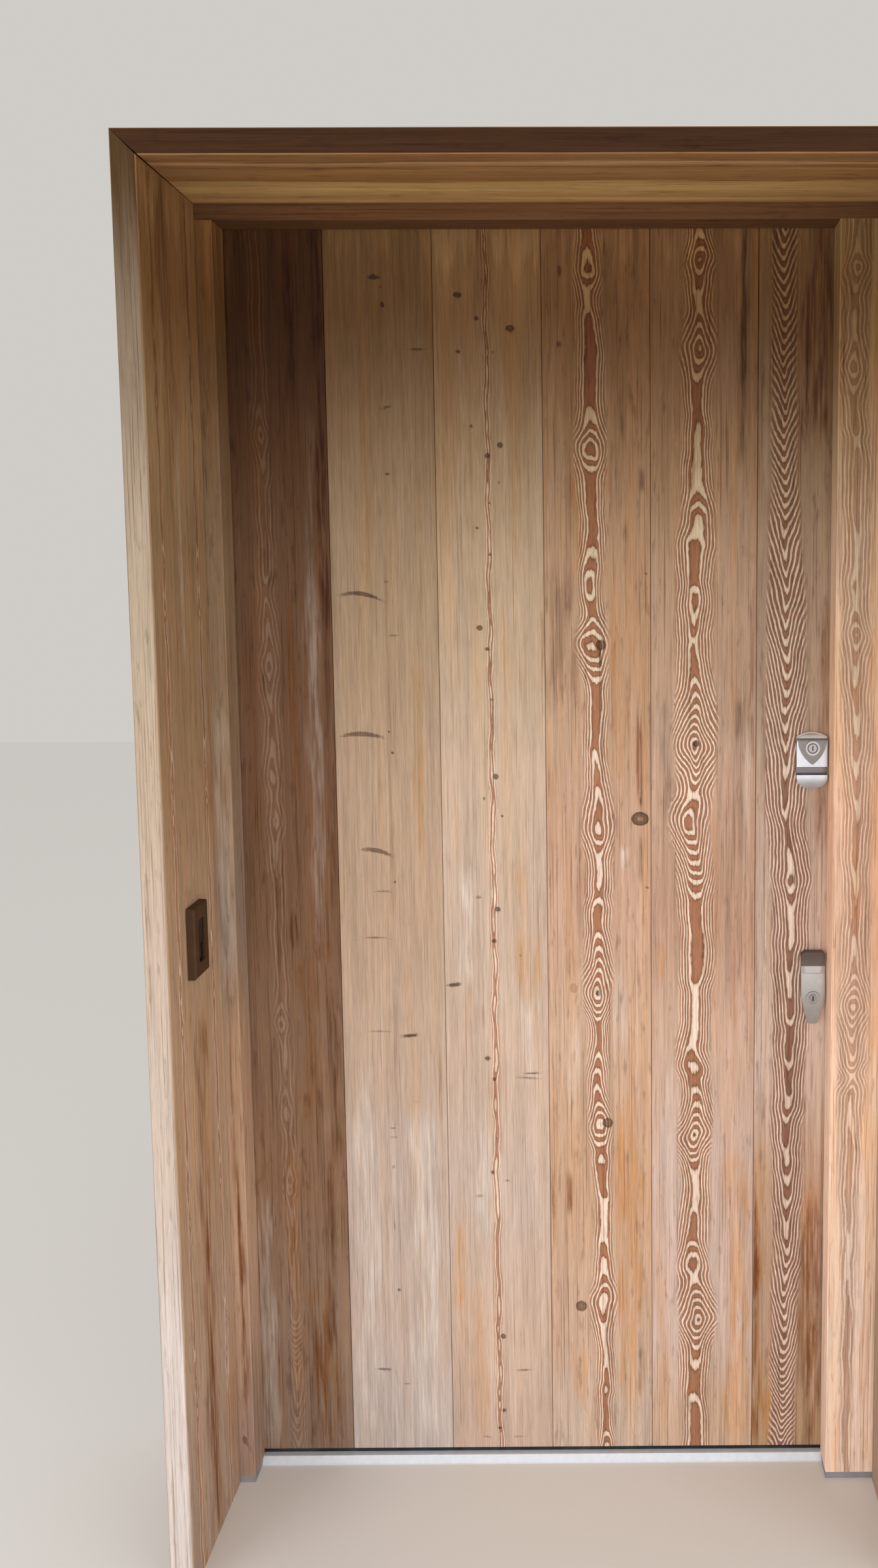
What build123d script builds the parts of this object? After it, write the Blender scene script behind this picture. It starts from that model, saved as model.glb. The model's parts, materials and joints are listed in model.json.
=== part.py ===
from build123d import *
import math
import os

# Boarded timber front door in its rebated frame, with a deep lining round the reveal.
# Millimetres. +X is to the right seen from the street, +Y goes into the house, +Z is up.
# The origin is at the middle of the clear opening, in the plane of the leaf's outer face,
# at the underside of the threshold.

# Clear opening between the stops
OPENING_W = 980.0
SOFFIT_Z = 2105.0

# Frame members
FRAME_FRONT = 50.0  # from the leaf's outer face to the frame's front face
JAMB_SHOW = 26.0  # face of the left jamb beside the lining
POST_SHOW = 80.0  # face of the right jamb beside the lining
HEAD_SHOW = 24.0  # face of the head below the lining
REBATE = 15.0
SEAL_GAP = 3.0  # from the stop's back to the leaf's outer face
ARRIS = 1.5
JAMB_TENON_T = 20.0
JAMB_TENON_L = 40.0
JAMB_TENON_SHOULDER = 7.0
JOINERY_CLEAR = 0.2
SILL_BLOCK_H = 11.0

# Lining boards in front of the frame
CASING_T = 36.0
CASING_D = 200.0
CASING_TONGUE_T = 10.0
CASING_TONGUE_L = 10.0
CASING_QUIRK = 2.5  # shadow groove where the lining meets the frame
CASING_ARRIS = 2.5
MITRE_OPEN_FRONT = 3.0  # the left mitre has shrunk open at its inner corner
MITRE_OPEN_BACK = 0.8

# Gasket in the back of the stop
SEAL_IN = 5.5  # from the stop's edge to the gasket's middle
SEAL_STEM_T = 3.5
SEAL_STEM_L = 8.0
SEAL_BULB_W = 6.0
SEAL_TOUCH = 0.3  # left between a seal and the leaf

# Threshold
THRESHOLD_NOSE = 15.5
THRESHOLD_NOSE_H = 2.2
THRESHOLD_STRIP = 8.0
THRESHOLD_WALL = 1.8
THRESHOLD_WEBS = 2
SILL_SEAL_Y = 6.0
SILL_SEAL_STEM_T = 4.0
SILL_SEAL_STEM_L = 5.0
SILL_SEAL_START = 1.0
SILL_SEAL_D = 17.0
SILL_SEAL_WALL = 2.0
SILL_SEAL_END_GAP = 1.0

# Leaf
LEAF_GAP = 4.0
LEAF_LIFT = 18.0  # underside of the leaf above the floor
BOARD_T = 20.0
FRAMING_T = 48.0
LOCK_BEVEL_DEG = 2.0
OUTER_BOARDS = 6
FIRST_BOARD_W = 168.0
LAST_BOARD_W = 132.0
BOARD_JOINT = 1.2
BOARD_EASE = 0.8
TONGUE_T = 6.0
TONGUE_L = 8.0
TONGUE_CLEAR = 0.3
STILE_W = 115.0
TOP_RAIL_H = 110.0
LOCK_RAIL_Z = 1000.0
LOCK_RAIL_H = 200.0
BOTTOM_RAIL_H = 220.0
RAIL_TENON_T = 16.0
RAIL_TENON_L = 60.0
RAIL_HAUNCH = 20.0
PANEL_T = 12.0
PANEL_BACKSET = 6.0  # from the framing's inner face to the panel boards
PANEL_GROOVE = 10.0
PANEL_CLEAR = 0.5
PANEL_BOARDS = 5
PANEL_TONGUE_T = 4.0
PANEL_V = 2.5
INSULATION_CLEAR = 0.5

# Hinges
HINGE_DROP = 236.0  # top hinge's middle below the leaf's top
HINGE_RISE = 242.0  # bottom hinge's middle above the leaf's underside
HINGE_LIFT = 30.0  # middle hinge above the midpoint of the other two
HINGE_H = 102.0
HINGE_FLAP_T = 3.0
HINGE_FLAP_W = 50.0
KNUCKLE_R = 6.5
KNUCKLES = 3
KNUCKLE_GAP = 0.3
PIN_R = 3.5
PIN_CLEAR = 0.05

# Night latch
LATCH_Z = 1265.0
LATCH_BACKSET = 40.0
PULL_W = 51.0
PULL_H = 95.0
PULL_ABOVE = 25.5  # plate above the cylinder's axis
PULL_D = 11.0
PULL_EDGE_D = 4.0
PULL_ARCH = 7.5
PULL_ROUND = 19.0
PULL_SLOPE = 14.0
PULL_GROOVE_TOP = 57.5
PULL_GROOVE_END = 70.5
PULL_GROOVE_D = 4.5
PULL_LIP_D = 13.5
PULL_LIP_END_D = 8.0
SHIELD_D = 15.0
SHIELD_MARGIN = 1.5
SHIELD_L = 53.5
LATCH_FACE_D = 17.0
LATCH_FACE_R = 12.0
LATCH_BODY_R = 15.0
LATCH_BODY_BACK = 24.0
LATCH_BORE_R = 16.0
LATCH_RING_R = 9.0
CYLINDER_RING_SINK = 1.2
PLUG_R = 6.75
PLUG_CLEAR = 0.08
FACE_CLEAR = 0.2
KEYWAY_W = 1.8
KEYWAY_H = 8.5
KEYWAY_D = 18.0
TAIL_W = 8.0
TAIL_T = 2.0
LATCH_CASE_W = 66.0
LATCH_CASE_H = 88.0
LATCH_CASE_D = 27.0
LATCH_CASE_WALL = 3.0
LATCH_CASE_R = 5.0
LATCH_CASE_INSET = 1.5
LATCH_HEAD_L = 24.0
LATCH_HEAD_H = 24.0
LATCH_HEAD_T = 16.0
LATCH_BEVEL = 11.0
LATCH_TAIL_T = 6.0
LATCH_TAIL_H = 11.0
LATCH_TAIL_Y = 6.0  # from the leaf's inner face to the bolt's tail
LATCH_THROW = 14.0
LATCH_TAIL_RISE = 10.0  # tail's underside above the spindle
SPINDLE_R = 6.0
FINGER_W = 5.0
FINGER_REST_DEG = -30.0
NOTCH_SIDE = 0.4
NOTCH_TOP = 1.0
KNOB_R = 16.0
KNOB_D = 20.0
KNOB_BASE_D = 6.0
KNOB_GRIP_W = 9.0
SNIB_DROP = 28.0
SNIB_W = 8.0
SNIB_H = 4.6
SNIB_TRAVEL = 6.0
SNIB_PAD_W = 11.0
SNIB_PAD_H = 8.0
SNIB_PAD_D = 3.0
SNIB_BASE_W = 20.0
SNIB_BASE_H = 9.0
SNIB_BASE_T = 2.0
KEEP_W = 41.0
KEEP_H = 78.0
KEEP_D = 26.0
KEEP_POCKET = 20.0
KEEP_PLAY = 1.2

# Mortice deadlock
DEADLOCK_Z = 836.0
DEADLOCK_BACKSET = 34.0
ESCUTCHEON_W = 40.0
ESCUTCHEON_H = 127.0
ESCUTCHEON_ABOVE = 81.0
ESCUTCHEON_CORNER = 5.0
ESCUTCHEON_TIP_R = 5.0
ESCUTCHEON_HIP_R = 20.0
ESCUTCHEON_STRAIGHT = 80.0
ESCUTCHEON_TIP_W = 17.0
ESCUTCHEON_LIP_D = 14.0
ESCUTCHEON_WAIST_D = 8.0
ESCUTCHEON_WAIST = 26.0
ESCUTCHEON_BELLY_D = 10.5
ESCUTCHEON_TIP_D = 6.5
LABEL_W = 29.0
LABEL_FOOT_W = 25.0
LABEL_H = 13.0
LABEL_SINK = 0.8
BARREL_R = 12.0
BARREL_PROUD = 1.2
BARREL_RING_R = 9.5
CASE_T = 15.0
CASE_WALL = 1.5
CASE_DEPTH = 61.0
CASE_BELOW = 30.0
CASE_ABOVE = 70.0
FOREND_T = 3.0
FOREND_W = 22.0
FOREND_H = 160.0
FOREND_SINK = 1.4
BOLT_THROW = 20.0
BOLT_HEAD_L = 29.0
BOLT_HEAD_H = 34.0
BOLT_RISE = 14.0  # bolt's underside above the spindle
BOLT_TAIL_L = 24.0
BOLT_TAIL_T = 6.0
BOLT_TAIL_H = 16.0
BOLT_CLEAR = 0.3
CAM_T = 6.4
CAM_HUB_R = 8.0
CAM_GAP = 0.3
ROSE_R = 26.0
ROSE_D = 8.0
THUMB_EASE = 2.0
THUMB_L = 36.0
THUMB_W = 11.0
THUMB_D = 20.0
THUMB_GAP = 2.0
STRIKE_H = 130.0
STRIKE_POCKET = 26.0
STRIKE_PLAY = 1.0

# Bell push on the left lining
BELL_Y = -157.5
BELL_Z = 996.0
BELL_W = 53.0
BELL_H = 111.0
BELL_D = 13.0
BELL_EASE = 2.5
BELL_SLOT_W = 25.0
BELL_SLOT_H = 68.0
BELL_SLOT_R = 6.0
BELL_SLOT_D = 10.0
BELL_SPLIT = 5.0  # split between button and window below the slot's middle
BELL_BUTTON_SINK = 2.0
BELL_BUTTON_T = 5.5
BELL_BUTTON_CROWN = 1.0
BELL_WINDOW_SINK = 4.0
BELL_CLEAR = 0.4
BELL_WINDOW_CLEAR = 0.05

# Places worked out from the sizes above
HALF_W = OPENING_W / 2
REBATE_X = HALF_W + REBATE
REBATE_Z = SOFFIT_Z + REBATE
LEAF_X = REBATE_X - LEAF_GAP
LEAF_T = BOARD_T + FRAMING_T
LEAF_TOP = REBATE_Z - LEAF_GAP
LEFT_X = -(HALF_W + JAMB_SHOW + CASING_T)
RIGHT_X = HALF_W + POST_SHOW + CASING_T
TOP_Z = SOFFIT_Z + HEAD_SHOW + CASING_T
FRONT_Y = -FRAME_FRONT
BACK_Y = LEAF_T
CASING_FRONT_Y = FRONT_Y - CASING_D
TONGUE_IN = CASING_T / 2
STILE_X = LEAF_X - STILE_W
PANEL_Y = LEAF_T - PANEL_BACKSET - PANEL_T
HINGE_X = -(LEAF_X + REBATE_X) / 2
HINGE_Y = LEAF_T + KNUCKLE_R + KNUCKLE_GAP
HINGE_TOP_Z = LEAF_TOP - HINGE_DROP
HINGE_BOTTOM_Z = LEAF_LIFT + HINGE_RISE
HINGE_HEIGHTS = {
    "top": HINGE_TOP_Z,
    "middle": (HINGE_TOP_Z + HINGE_BOTTOM_Z) / 2 + HINGE_LIFT,
    "bottom": HINGE_BOTTOM_Z,
}
LATCH_X = LEAF_X - LATCH_BACKSET
PULL_TOP = LATCH_Z + PULL_ABOVE
LATCH_CASE_X = LEAF_X - LATCH_CASE_INSET
LATCH_FINGER_R = LATCH_THROW / (2 * math.sin(math.radians(-FINGER_REST_DEG)))
DEADLOCK_X = LEAF_X - DEADLOCK_BACKSET
ESCUTCHEON_TOP = DEADLOCK_Z + ESCUTCHEON_ABOVE
LOCK_Y = BOARD_T + FRAMING_T / 2
FOREND_X = LEAF_X - FOREND_SINK
BOLT_FINGER_R = BOLT_THROW / (2 * math.sin(math.radians(-FINGER_REST_DEG)))
LINING_X = LEFT_X + CASING_T


def block(x0, x1, y0, y1, z0, z1):
    """Rectangular solid between two corners."""
    corner = (Align.MIN, Align.MIN, Align.MIN)
    return Pos(x0, y0, z0) * Box(x1 - x0, y1 - y0, z1 - z0, align=corner)


def rod(radius, start, end):
    """Round bar between two points."""
    span = Vector(*end) - Vector(*start)
    return Solid.make_cylinder(radius, span.length, Plane(origin=start, z_dir=span))


def through(radius, x, z, y0, y1):
    """Round bar along Y at the place (x, z)."""
    return rod(radius, (x, y0, z), (x, y1, z))


def upright(section, z0, z1):
    """Plan section carried up from z0 to z1."""
    return extrude(Pos(0, 0, z0) * section, z1 - z0, dir=(0, 0, 1))


def lengthwise(section, x0, x1):
    """Section in Y and Z carried along X."""
    return extrude(Plane.YZ.offset(x0) * section, x1 - x0, dir=(1, 0, 0))


def outward(section, y0, depth):
    """Section in X and Z carried towards the street from the plane y0."""
    street = Plane((0, y0, 0), x_dir=(1, 0, 0), z_dir=(0, -1, 0))
    return extrude(street * section, depth, dir=(0, -1, 0))


def shape(*points):
    """Closed straight-sided section."""
    return Polygon(*points, align=None)


def mitre(solid, x, keep):
    """Cut a solid on the frame's corner line through (x, TOP_Z) on either side of the opening."""
    lean = -1 if x > 0 else 1
    return split(solid, bisect_by=Plane((x, 0, TOP_Z), z_dir=(lean, 0, 1)), keep=keep)


def finger(x, z, radius, y0, y1):
    """Cam finger at its rest angle, turning about the axis along Y at (x, z)."""
    arm = block(-FINGER_W / 2, FINGER_W / 2, y0, y1, 0, radius)
    return Pos(x, 0, z) * Rot(0, FINGER_REST_DEG, 0) * arm


def finger_notch(x, z, radius, y0, y1, rise):
    """Room in a bolt's tail, whose underside is at z + rise, for the whole turn of its finger."""
    lean = math.radians(-FINGER_REST_DEG)
    tip = radius * math.sin(lean)
    half = FINGER_W / 2 / math.cos(lean) + tip - rise * math.tan(lean) + NOTCH_SIDE
    return block(x - tip - half, x - tip + half, y0, y1, z + rise, z + radius + NOTCH_TOP)


def keyway(x, z, y):
    """Slot for the key in a plug whose face is at y."""
    half_w, half_h = KEYWAY_W / 2, KEYWAY_H / 2
    return block(x - half_w, x + half_w, y, y + KEYWAY_D, z - half_h, z + half_h)


def jamb_blank(outer_x):
    """Rebated jamb of the right-hand side, tenoned at its top."""
    section = shape(
        (HALF_W, FRONT_Y), (outer_x, FRONT_Y), (outer_x, BACK_Y),
        (REBATE_X, BACK_Y), (REBATE_X, -SEAL_GAP), (HALF_W, -SEAL_GAP),
    )
    jamb = upright(section, SILL_BLOCK_H, SOFFIT_Z)
    front_arris = jamb.edges().filter_by(Axis.Z).group_by(Axis.X)[0].sort_by(Axis.Y)[0]
    jamb = chamfer(front_arris, ARRIS)
    jamb += jamb_tenon(outer_x, 0)
    jamb -= tongue_groove(outer_x, SILL_BLOCK_H, SOFFIT_Z)
    return jamb - seal_groove(SILL_BLOCK_H, SOFFIT_Z)


def jamb_tenon(outer_x, clear):
    """Tenon that enters the head, or its mortise where clear is more than 0."""
    x0 = REBATE_X + JAMB_TENON_SHOULDER - clear
    x1 = outer_x - JAMB_TENON_SHOULDER + clear
    y0 = (BACK_Y - SEAL_GAP - JAMB_TENON_T) / 2 - clear
    return block(x0, x1, y0, y0 + JAMB_TENON_T + 2 * clear, SOFFIT_Z, SOFFIT_Z + JAMB_TENON_L + clear)


def tongue_groove(outer_x, z0, z1):
    """Groove in the frame's front face for an upright lining board's tongue."""
    middle = outer_x - TONGUE_IN
    half = CASING_TONGUE_T / 2 + JOINERY_CLEAR
    depth = CASING_TONGUE_L + JOINERY_CLEAR
    return block(middle - half, middle + half, FRONT_Y, FRONT_Y + depth, z0, z1)


def seal_groove(z0, z1):
    """Upright groove for the gasket's stem in the back of the right-hand stop."""
    middle = HALF_W + SEAL_IN
    half = SEAL_STEM_T / 2
    return block(middle - half, middle + half, -SEAL_GAP - SEAL_STEM_L, -SEAL_GAP, z0, z1)


def hinge_recess(height, face_x, into):
    """Room for a hinge flap let into timber whose face is at face_x."""
    x0, x1 = sorted((face_x, face_x + into * HINGE_FLAP_T))
    half = HINGE_H / 2
    return block(x0, x1, HINGE_Y - HINGE_FLAP_W, BACK_Y, height - half, height + half)


def frame_jamb_left():
    """Hinge jamb."""
    jamb = mirror(jamb_blank(-LEFT_X), about=Plane.YZ)
    for height in HINGE_HEIGHTS.values():
        jamb -= hinge_recess(height, -REBATE_X, -1)
    return jamb


def frame_jamb_right():
    """Lock jamb, with the deadlock's strike let in and the latch keep screwed on."""
    jamb = jamb_blank(RIGHT_X)
    half_w, half_h = FOREND_W / 2, STRIKE_H / 2
    middle = DEADLOCK_Z + BOLT_RISE + BOLT_HEAD_H / 2
    jamb -= block(
        REBATE_X, REBATE_X + FOREND_T, LOCK_Y - half_w, LOCK_Y + half_w,
        middle - half_h, middle + half_h,
    )
    return jamb - strike_hole(REBATE_X, REBATE_X + STRIKE_POCKET)


def frame_head():
    """Head over both jambs, rebated between them."""
    head = block(LEFT_X, RIGHT_X, FRONT_Y, BACK_Y, SOFFIT_Z, TOP_Z)
    head -= block(-REBATE_X, REBATE_X, -SEAL_GAP, BACK_Y, SOFFIT_Z, REBATE_Z)
    head -= jamb_tenon(RIGHT_X, JOINERY_CLEAR)
    head -= mirror(jamb_tenon(-LEFT_X, JOINERY_CLEAR), about=Plane.YZ)
    half = CASING_TONGUE_T / 2 + JOINERY_CLEAR
    depth = CASING_TONGUE_L + JOINERY_CLEAR
    middle = TOP_Z - TONGUE_IN
    head -= block(
        LEFT_X + TONGUE_IN - half, RIGHT_X - TONGUE_IN + half, FRONT_Y, FRONT_Y + depth,
        middle - half, middle + half,
    )
    head -= tongue_groove(RIGHT_X, SOFFIT_Z, middle)
    head -= mirror(tongue_groove(-LEFT_X, SOFFIT_Z, middle), about=Plane.YZ)
    seal_z = SOFFIT_Z + SEAL_IN
    seal_x = HALF_W + SEAL_IN + SEAL_STEM_T / 2
    seal_y = -SEAL_GAP - SEAL_STEM_L
    half = SEAL_STEM_T / 2
    head -= block(-seal_x, seal_x, seal_y, -SEAL_GAP, seal_z - half, seal_z + half)
    head -= seal_groove(SOFFIT_Z, seal_z)
    head -= mirror(seal_groove(SOFFIT_Z, seal_z), about=Plane.YZ)
    eased = shape((FRONT_Y, SOFFIT_Z), (FRONT_Y + ARRIS, SOFFIT_Z), (FRONT_Y, SOFFIT_Z + ARRIS))
    return head - lengthwise(eased, -HALF_W, HALF_W)


def sill_block(x0, x1):
    """Flat pad under a jamb."""
    return block(x0, x1, FRONT_Y, BACK_Y, 0, SILL_BLOCK_H)


def casing_upright(outer_x):
    """Right-hand lining board, tongued into the frame and mitred at its top."""
    x0 = outer_x - CASING_T
    section = shape(
        (x0 + CASING_ARRIS, CASING_FRONT_Y), (outer_x - CASING_ARRIS, CASING_FRONT_Y),
        (outer_x, CASING_FRONT_Y + CASING_ARRIS), (outer_x, FRONT_Y),
        (x0 + CASING_QUIRK, FRONT_Y), (x0 + CASING_QUIRK, FRONT_Y - CASING_QUIRK),
        (x0, FRONT_Y - CASING_QUIRK), (x0, CASING_FRONT_Y + CASING_ARRIS),
    )
    board = upright(section, 0, TOP_Z)
    middle = outer_x - TONGUE_IN
    half = CASING_TONGUE_T / 2
    board += block(
        middle - half, middle + half, FRONT_Y, FRONT_Y + CASING_TONGUE_L, SILL_BLOCK_H, TOP_Z
    )
    return mitre(board, outer_x, Keep.BOTTOM)


def casing_head():
    """Lining board over the opening, its left mitre opened by shrinkage."""
    z0 = TOP_Z - CASING_T
    section = shape(
        (CASING_FRONT_Y, z0 + CASING_ARRIS), (CASING_FRONT_Y, TOP_Z - CASING_ARRIS),
        (CASING_FRONT_Y + CASING_ARRIS, TOP_Z), (FRONT_Y, TOP_Z),
        (FRONT_Y, z0 + CASING_QUIRK), (FRONT_Y - CASING_QUIRK, z0 + CASING_QUIRK),
        (FRONT_Y - CASING_QUIRK, z0), (CASING_FRONT_Y + CASING_ARRIS, z0),
    )
    board = lengthwise(section, LEFT_X, RIGHT_X)
    middle = TOP_Z - TONGUE_IN
    half = CASING_TONGUE_T / 2
    board += block(
        LEFT_X, RIGHT_X, FRONT_Y, FRONT_Y + CASING_TONGUE_L, middle - half, middle + half
    )
    board = mitre(board, RIGHT_X, Keep.TOP)
    board = mitre(board, LEFT_X, Keep.TOP)
    corner = Vector(LEFT_X, CASING_FRONT_Y, TOP_Z)
    down_front = Vector(CASING_T + MITRE_OPEN_FRONT, 0, -CASING_T)
    down_back = Vector(CASING_T + MITRE_OPEN_BACK, CASING_D, -CASING_T)
    opened = Plane(corner, z_dir=down_back.cross(down_front))
    keep = Keep.TOP if opened.z_dir.X > 0 else Keep.BOTTOM
    return split(board, bisect_by=opened, keep=keep)


def frame_seal():
    """Gasket round the stop's back: two upright strips and one over the leaf, mitred together."""
    half, stem = SEAL_BULB_W / 2, SEAL_STEM_T / 2
    back = -SEAL_GAP
    section = [
        (-stem, back - SEAL_STEM_L), (stem, back - SEAL_STEM_L), (stem, back), (half, back),
        (stem, -SEAL_TOUCH), (-stem, -SEAL_TOUCH), (-half, back), (-stem, back),
    ]
    x, z = HALF_W + SEAL_IN, SOFFIT_Z + SEAL_IN
    corner = Plane((x, 0, z), z_dir=(-1, 0, 1))
    side = upright(shape(*[(x + u, y) for u, y in section]), SILL_BLOCK_H, z + half)
    side = split(side, bisect_by=corner, keep=Keep.BOTTOM)
    over = lengthwise(shape(*[(y, z + u) for u, y in section]), -x - half, x + half)
    over = split(over, bisect_by=corner, keep=Keep.TOP)
    over = split(over, bisect_by=Plane((-x, 0, z), z_dir=(1, 0, 1)), keep=Keep.TOP)
    return group([side, mirror(side, about=Plane.YZ), over])


def group(pieces):
    """Separate like pieces kept as one named part."""
    return Compound([solid for piece in pieces for solid in piece.solids()])


def threshold():
    """Hollow sill section with a sloped nose and a groove for its seal."""
    section = shape(
        (-THRESHOLD_NOSE, 0), (-THRESHOLD_NOSE, THRESHOLD_NOSE_H),
        (-THRESHOLD_STRIP, SILL_BLOCK_H), (BACK_Y, SILL_BLOCK_H), (BACK_Y, 0),
    )
    sill = lengthwise(section, -HALF_W, HALF_W)
    half = SILL_SEAL_STEM_T / 2
    sill -= block(
        -HALF_W, HALF_W, SILL_SEAL_Y - half, SILL_SEAL_Y + half,
        SILL_BLOCK_H - SILL_SEAL_STEM_L, SILL_BLOCK_H,
    )
    first = SILL_SEAL_Y + half + THRESHOLD_WALL
    room = BACK_Y - THRESHOLD_WALL - first
    pitch = room / THRESHOLD_WEBS
    for i in range(THRESHOLD_WEBS):
        y0 = first + i * pitch
        y1 = y0 + pitch - (THRESHOLD_WALL if i < THRESHOLD_WEBS - 1 else 0)
        sill -= block(-HALF_W, HALF_W, y0, y1, THRESHOLD_WALL, SILL_BLOCK_H - THRESHOLD_WALL)
    return sill


def threshold_seal():
    """Rubber tube under the leaf, held in the sill's groove."""
    low, high = SILL_BLOCK_H, LEAF_LIFT - SEAL_TOUCH
    y0, y1 = SILL_SEAL_START, SILL_SEAL_START + SILL_SEAL_D
    end = REBATE_X - SILL_SEAL_END_GAP
    seal = block(-end, end, y0, y1, low, high)
    wall = SILL_SEAL_WALL
    seal -= block(-end, end, y0 + wall, y1 - wall, low + wall, high - wall)
    half = SILL_SEAL_STEM_T / 2
    return seal + block(
        -HALF_W, HALF_W, SILL_SEAL_Y - half, SILL_SEAL_Y + half, low - SILL_SEAL_STEM_L, low
    )


def board_section(x0, x1, y0, thick, tongue_t, ease, grooved, tongued):
    """Plan section of a tongued and grooved board whose shown face is at y0."""
    left = ease if grooved else 0
    right = ease if tongued else 0
    section = shape(
        (x0 + left, y0), (x1 - right, y0), (x1, y0 + right), (x1, y0 + thick),
        (x0, y0 + thick), (x0, y0 + left),
    )
    middle = y0 + thick / 2
    if tongued:
        length = BOARD_JOINT + TONGUE_L
        section += Pos(x1 + length / 2, middle) * Rectangle(length, tongue_t)
    if grooved:
        length = TONGUE_L + TONGUE_CLEAR
        section -= Pos(x0 + length / 2, middle) * Rectangle(length, tongue_t + TONGUE_CLEAR)
    return section


def outer_board_edges():
    """Joint lines of the outer boards across the leaf, the inner ones at equal steps."""
    first, last = -LEAF_X + FIRST_BOARD_W, LEAF_X - LAST_BOARD_W
    cover = (last - first) / (OUTER_BOARDS - 2)
    return [-LEAF_X] + [first + i * cover for i in range(OUTER_BOARDS - 1)] + [LEAF_X]


def outer_boards():
    """Flush face boards, from the hinge side to the lock side."""
    edges = outer_board_edges()
    boards = []
    for i, (x0, x1) in enumerate(zip(edges, edges[1:])):
        first, last = i == 0, i == len(edges) - 2
        half = BOARD_JOINT / 2
        section = board_section(
            x0 if first else x0 + half, x1 if last else x1 - half,
            0, BOARD_T, TONGUE_T, BOARD_EASE, not first, not last,
        )
        board = upright(section, LEAF_LIFT, LEAF_TOP)
        boards.append(lock_cuts(board) if last else board)
    return boards


def lock_edge(solid):
    """Bevel the leaf's leading edge, widest at its inner face."""
    lean = math.tan(math.radians(LOCK_BEVEL_DEG))
    face = Plane((LEAF_X, LEAF_T, 0), z_dir=(1, -lean, 0))
    return split(solid, bisect_by=face, keep=Keep.BOTTOM)


def lock_cuts(solid):
    """Bevel and bore a piece at the leaf's lock edge."""
    solid = lock_edge(solid)
    solid -= through(LATCH_BORE_R, LATCH_X, LATCH_Z, 0, LEAF_T)
    return solid - through(BARREL_R + FACE_CLEAR, DEADLOCK_X, DEADLOCK_Z, 0, LEAF_T)


def field_heights():
    """Bottom and top of the two panel openings in the leaf's framing."""
    lower = (LEAF_LIFT + BOTTOM_RAIL_H, LOCK_RAIL_Z - LOCK_RAIL_H / 2)
    upper = (LOCK_RAIL_Z + LOCK_RAIL_H / 2, LEAF_TOP - TOP_RAIL_H)
    return {"lower": lower, "upper": upper}


def panel_grooves():
    """Room that the framing leaves round each panel opening."""
    cuts = []
    for z0, z1 in field_heights().values():
        cuts.append(
            block(
                -STILE_X - PANEL_GROOVE, STILE_X + PANEL_GROOVE, PANEL_Y, PANEL_Y + PANEL_T,
                z0 - PANEL_GROOVE, z1 + PANEL_GROOVE,
            )
        )
    return cuts


def rail(z0, z1):
    """Cross rail tenoned into both stiles."""
    wood = block(-STILE_X, STILE_X, BOARD_T, LEAF_T, z0, z1)
    wood += rail_tenons(z0, z1, 0)
    return wood - panel_grooves()


def rail_tenons(z0, z1, clear):
    """Both tenons of a rail, or their mortises where clear is more than 0."""
    reach = STILE_X + RAIL_TENON_L + clear
    half = RAIL_TENON_T / 2 + clear
    y = LOCK_Y - PANEL_BACKSET
    return block(
        -reach, reach, y - half, y + half, z0 + RAIL_HAUNCH - clear, z1 - RAIL_HAUNCH + clear
    )


def rail_heights():
    """Bottom and top of each rail."""
    fields = field_heights()
    return {
        "rail_bottom": (LEAF_LIFT, fields["lower"][0]),
        "rail_middle": (fields["lower"][1], fields["upper"][0]),
        "rail_top": (fields["upper"][1], LEAF_TOP),
    }


def stile_blank():
    """Right-hand stile with its mortises and panel grooves."""
    wood = block(STILE_X, LEAF_X, BOARD_T, LEAF_T, LEAF_LIFT, LEAF_TOP)
    for z0, z1 in rail_heights().values():
        wood -= rail_tenons(z0, z1, JOINERY_CLEAR)
    return wood - panel_grooves()


def stile_hinge():
    """Stile that carries the hinges."""
    wood = mirror(stile_blank(), about=Plane.YZ)
    for height in HINGE_HEIGHTS.values():
        wood -= hinge_recess(height, -LEAF_X, 1)
    return wood


def stile_lock():
    """Stile that carries both locks."""
    wood = lock_cuts(stile_blank())
    half = CASE_T / 2
    wood -= block(
        LEAF_X - CASE_DEPTH, LEAF_X, LOCK_Y - half, LOCK_Y + half,
        DEADLOCK_Z - CASE_BELOW, DEADLOCK_Z + CASE_ABOVE,
    )
    return wood - forend(LEAF_X)


def inner_boards(z0, z1):
    """V-jointed boards of one inside panel."""
    x0 = -STILE_X - PANEL_GROOVE + PANEL_CLEAR
    width = -2 * x0 / PANEL_BOARDS
    boards = []
    for i in range(PANEL_BOARDS):
        first, last = i == 0, i == PANEL_BOARDS - 1
        left = x0 + i * width + (0 if first else BOARD_JOINT / 2)
        right = x0 + (i + 1) * width - (0 if last else BOARD_JOINT / 2)
        section = board_section(
            left, right, PANEL_Y, PANEL_T, PANEL_TONGUE_T, PANEL_V, not first, not last
        )
        section = mirror(section, about=Plane.XZ.offset(-PANEL_Y - PANEL_T / 2))
        boards.append(
            upright(section, z0 - PANEL_GROOVE + PANEL_CLEAR, z1 + PANEL_GROOVE - PANEL_CLEAR)
        )
    return group(boards)


def insulation(z0, z1):
    """Stiff slab between the face boards and an inside panel."""
    gap = INSULATION_CLEAR
    return block(-STILE_X + gap, STILE_X - gap, BOARD_T, PANEL_Y, z0 + gap, z1 - gap)


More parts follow.
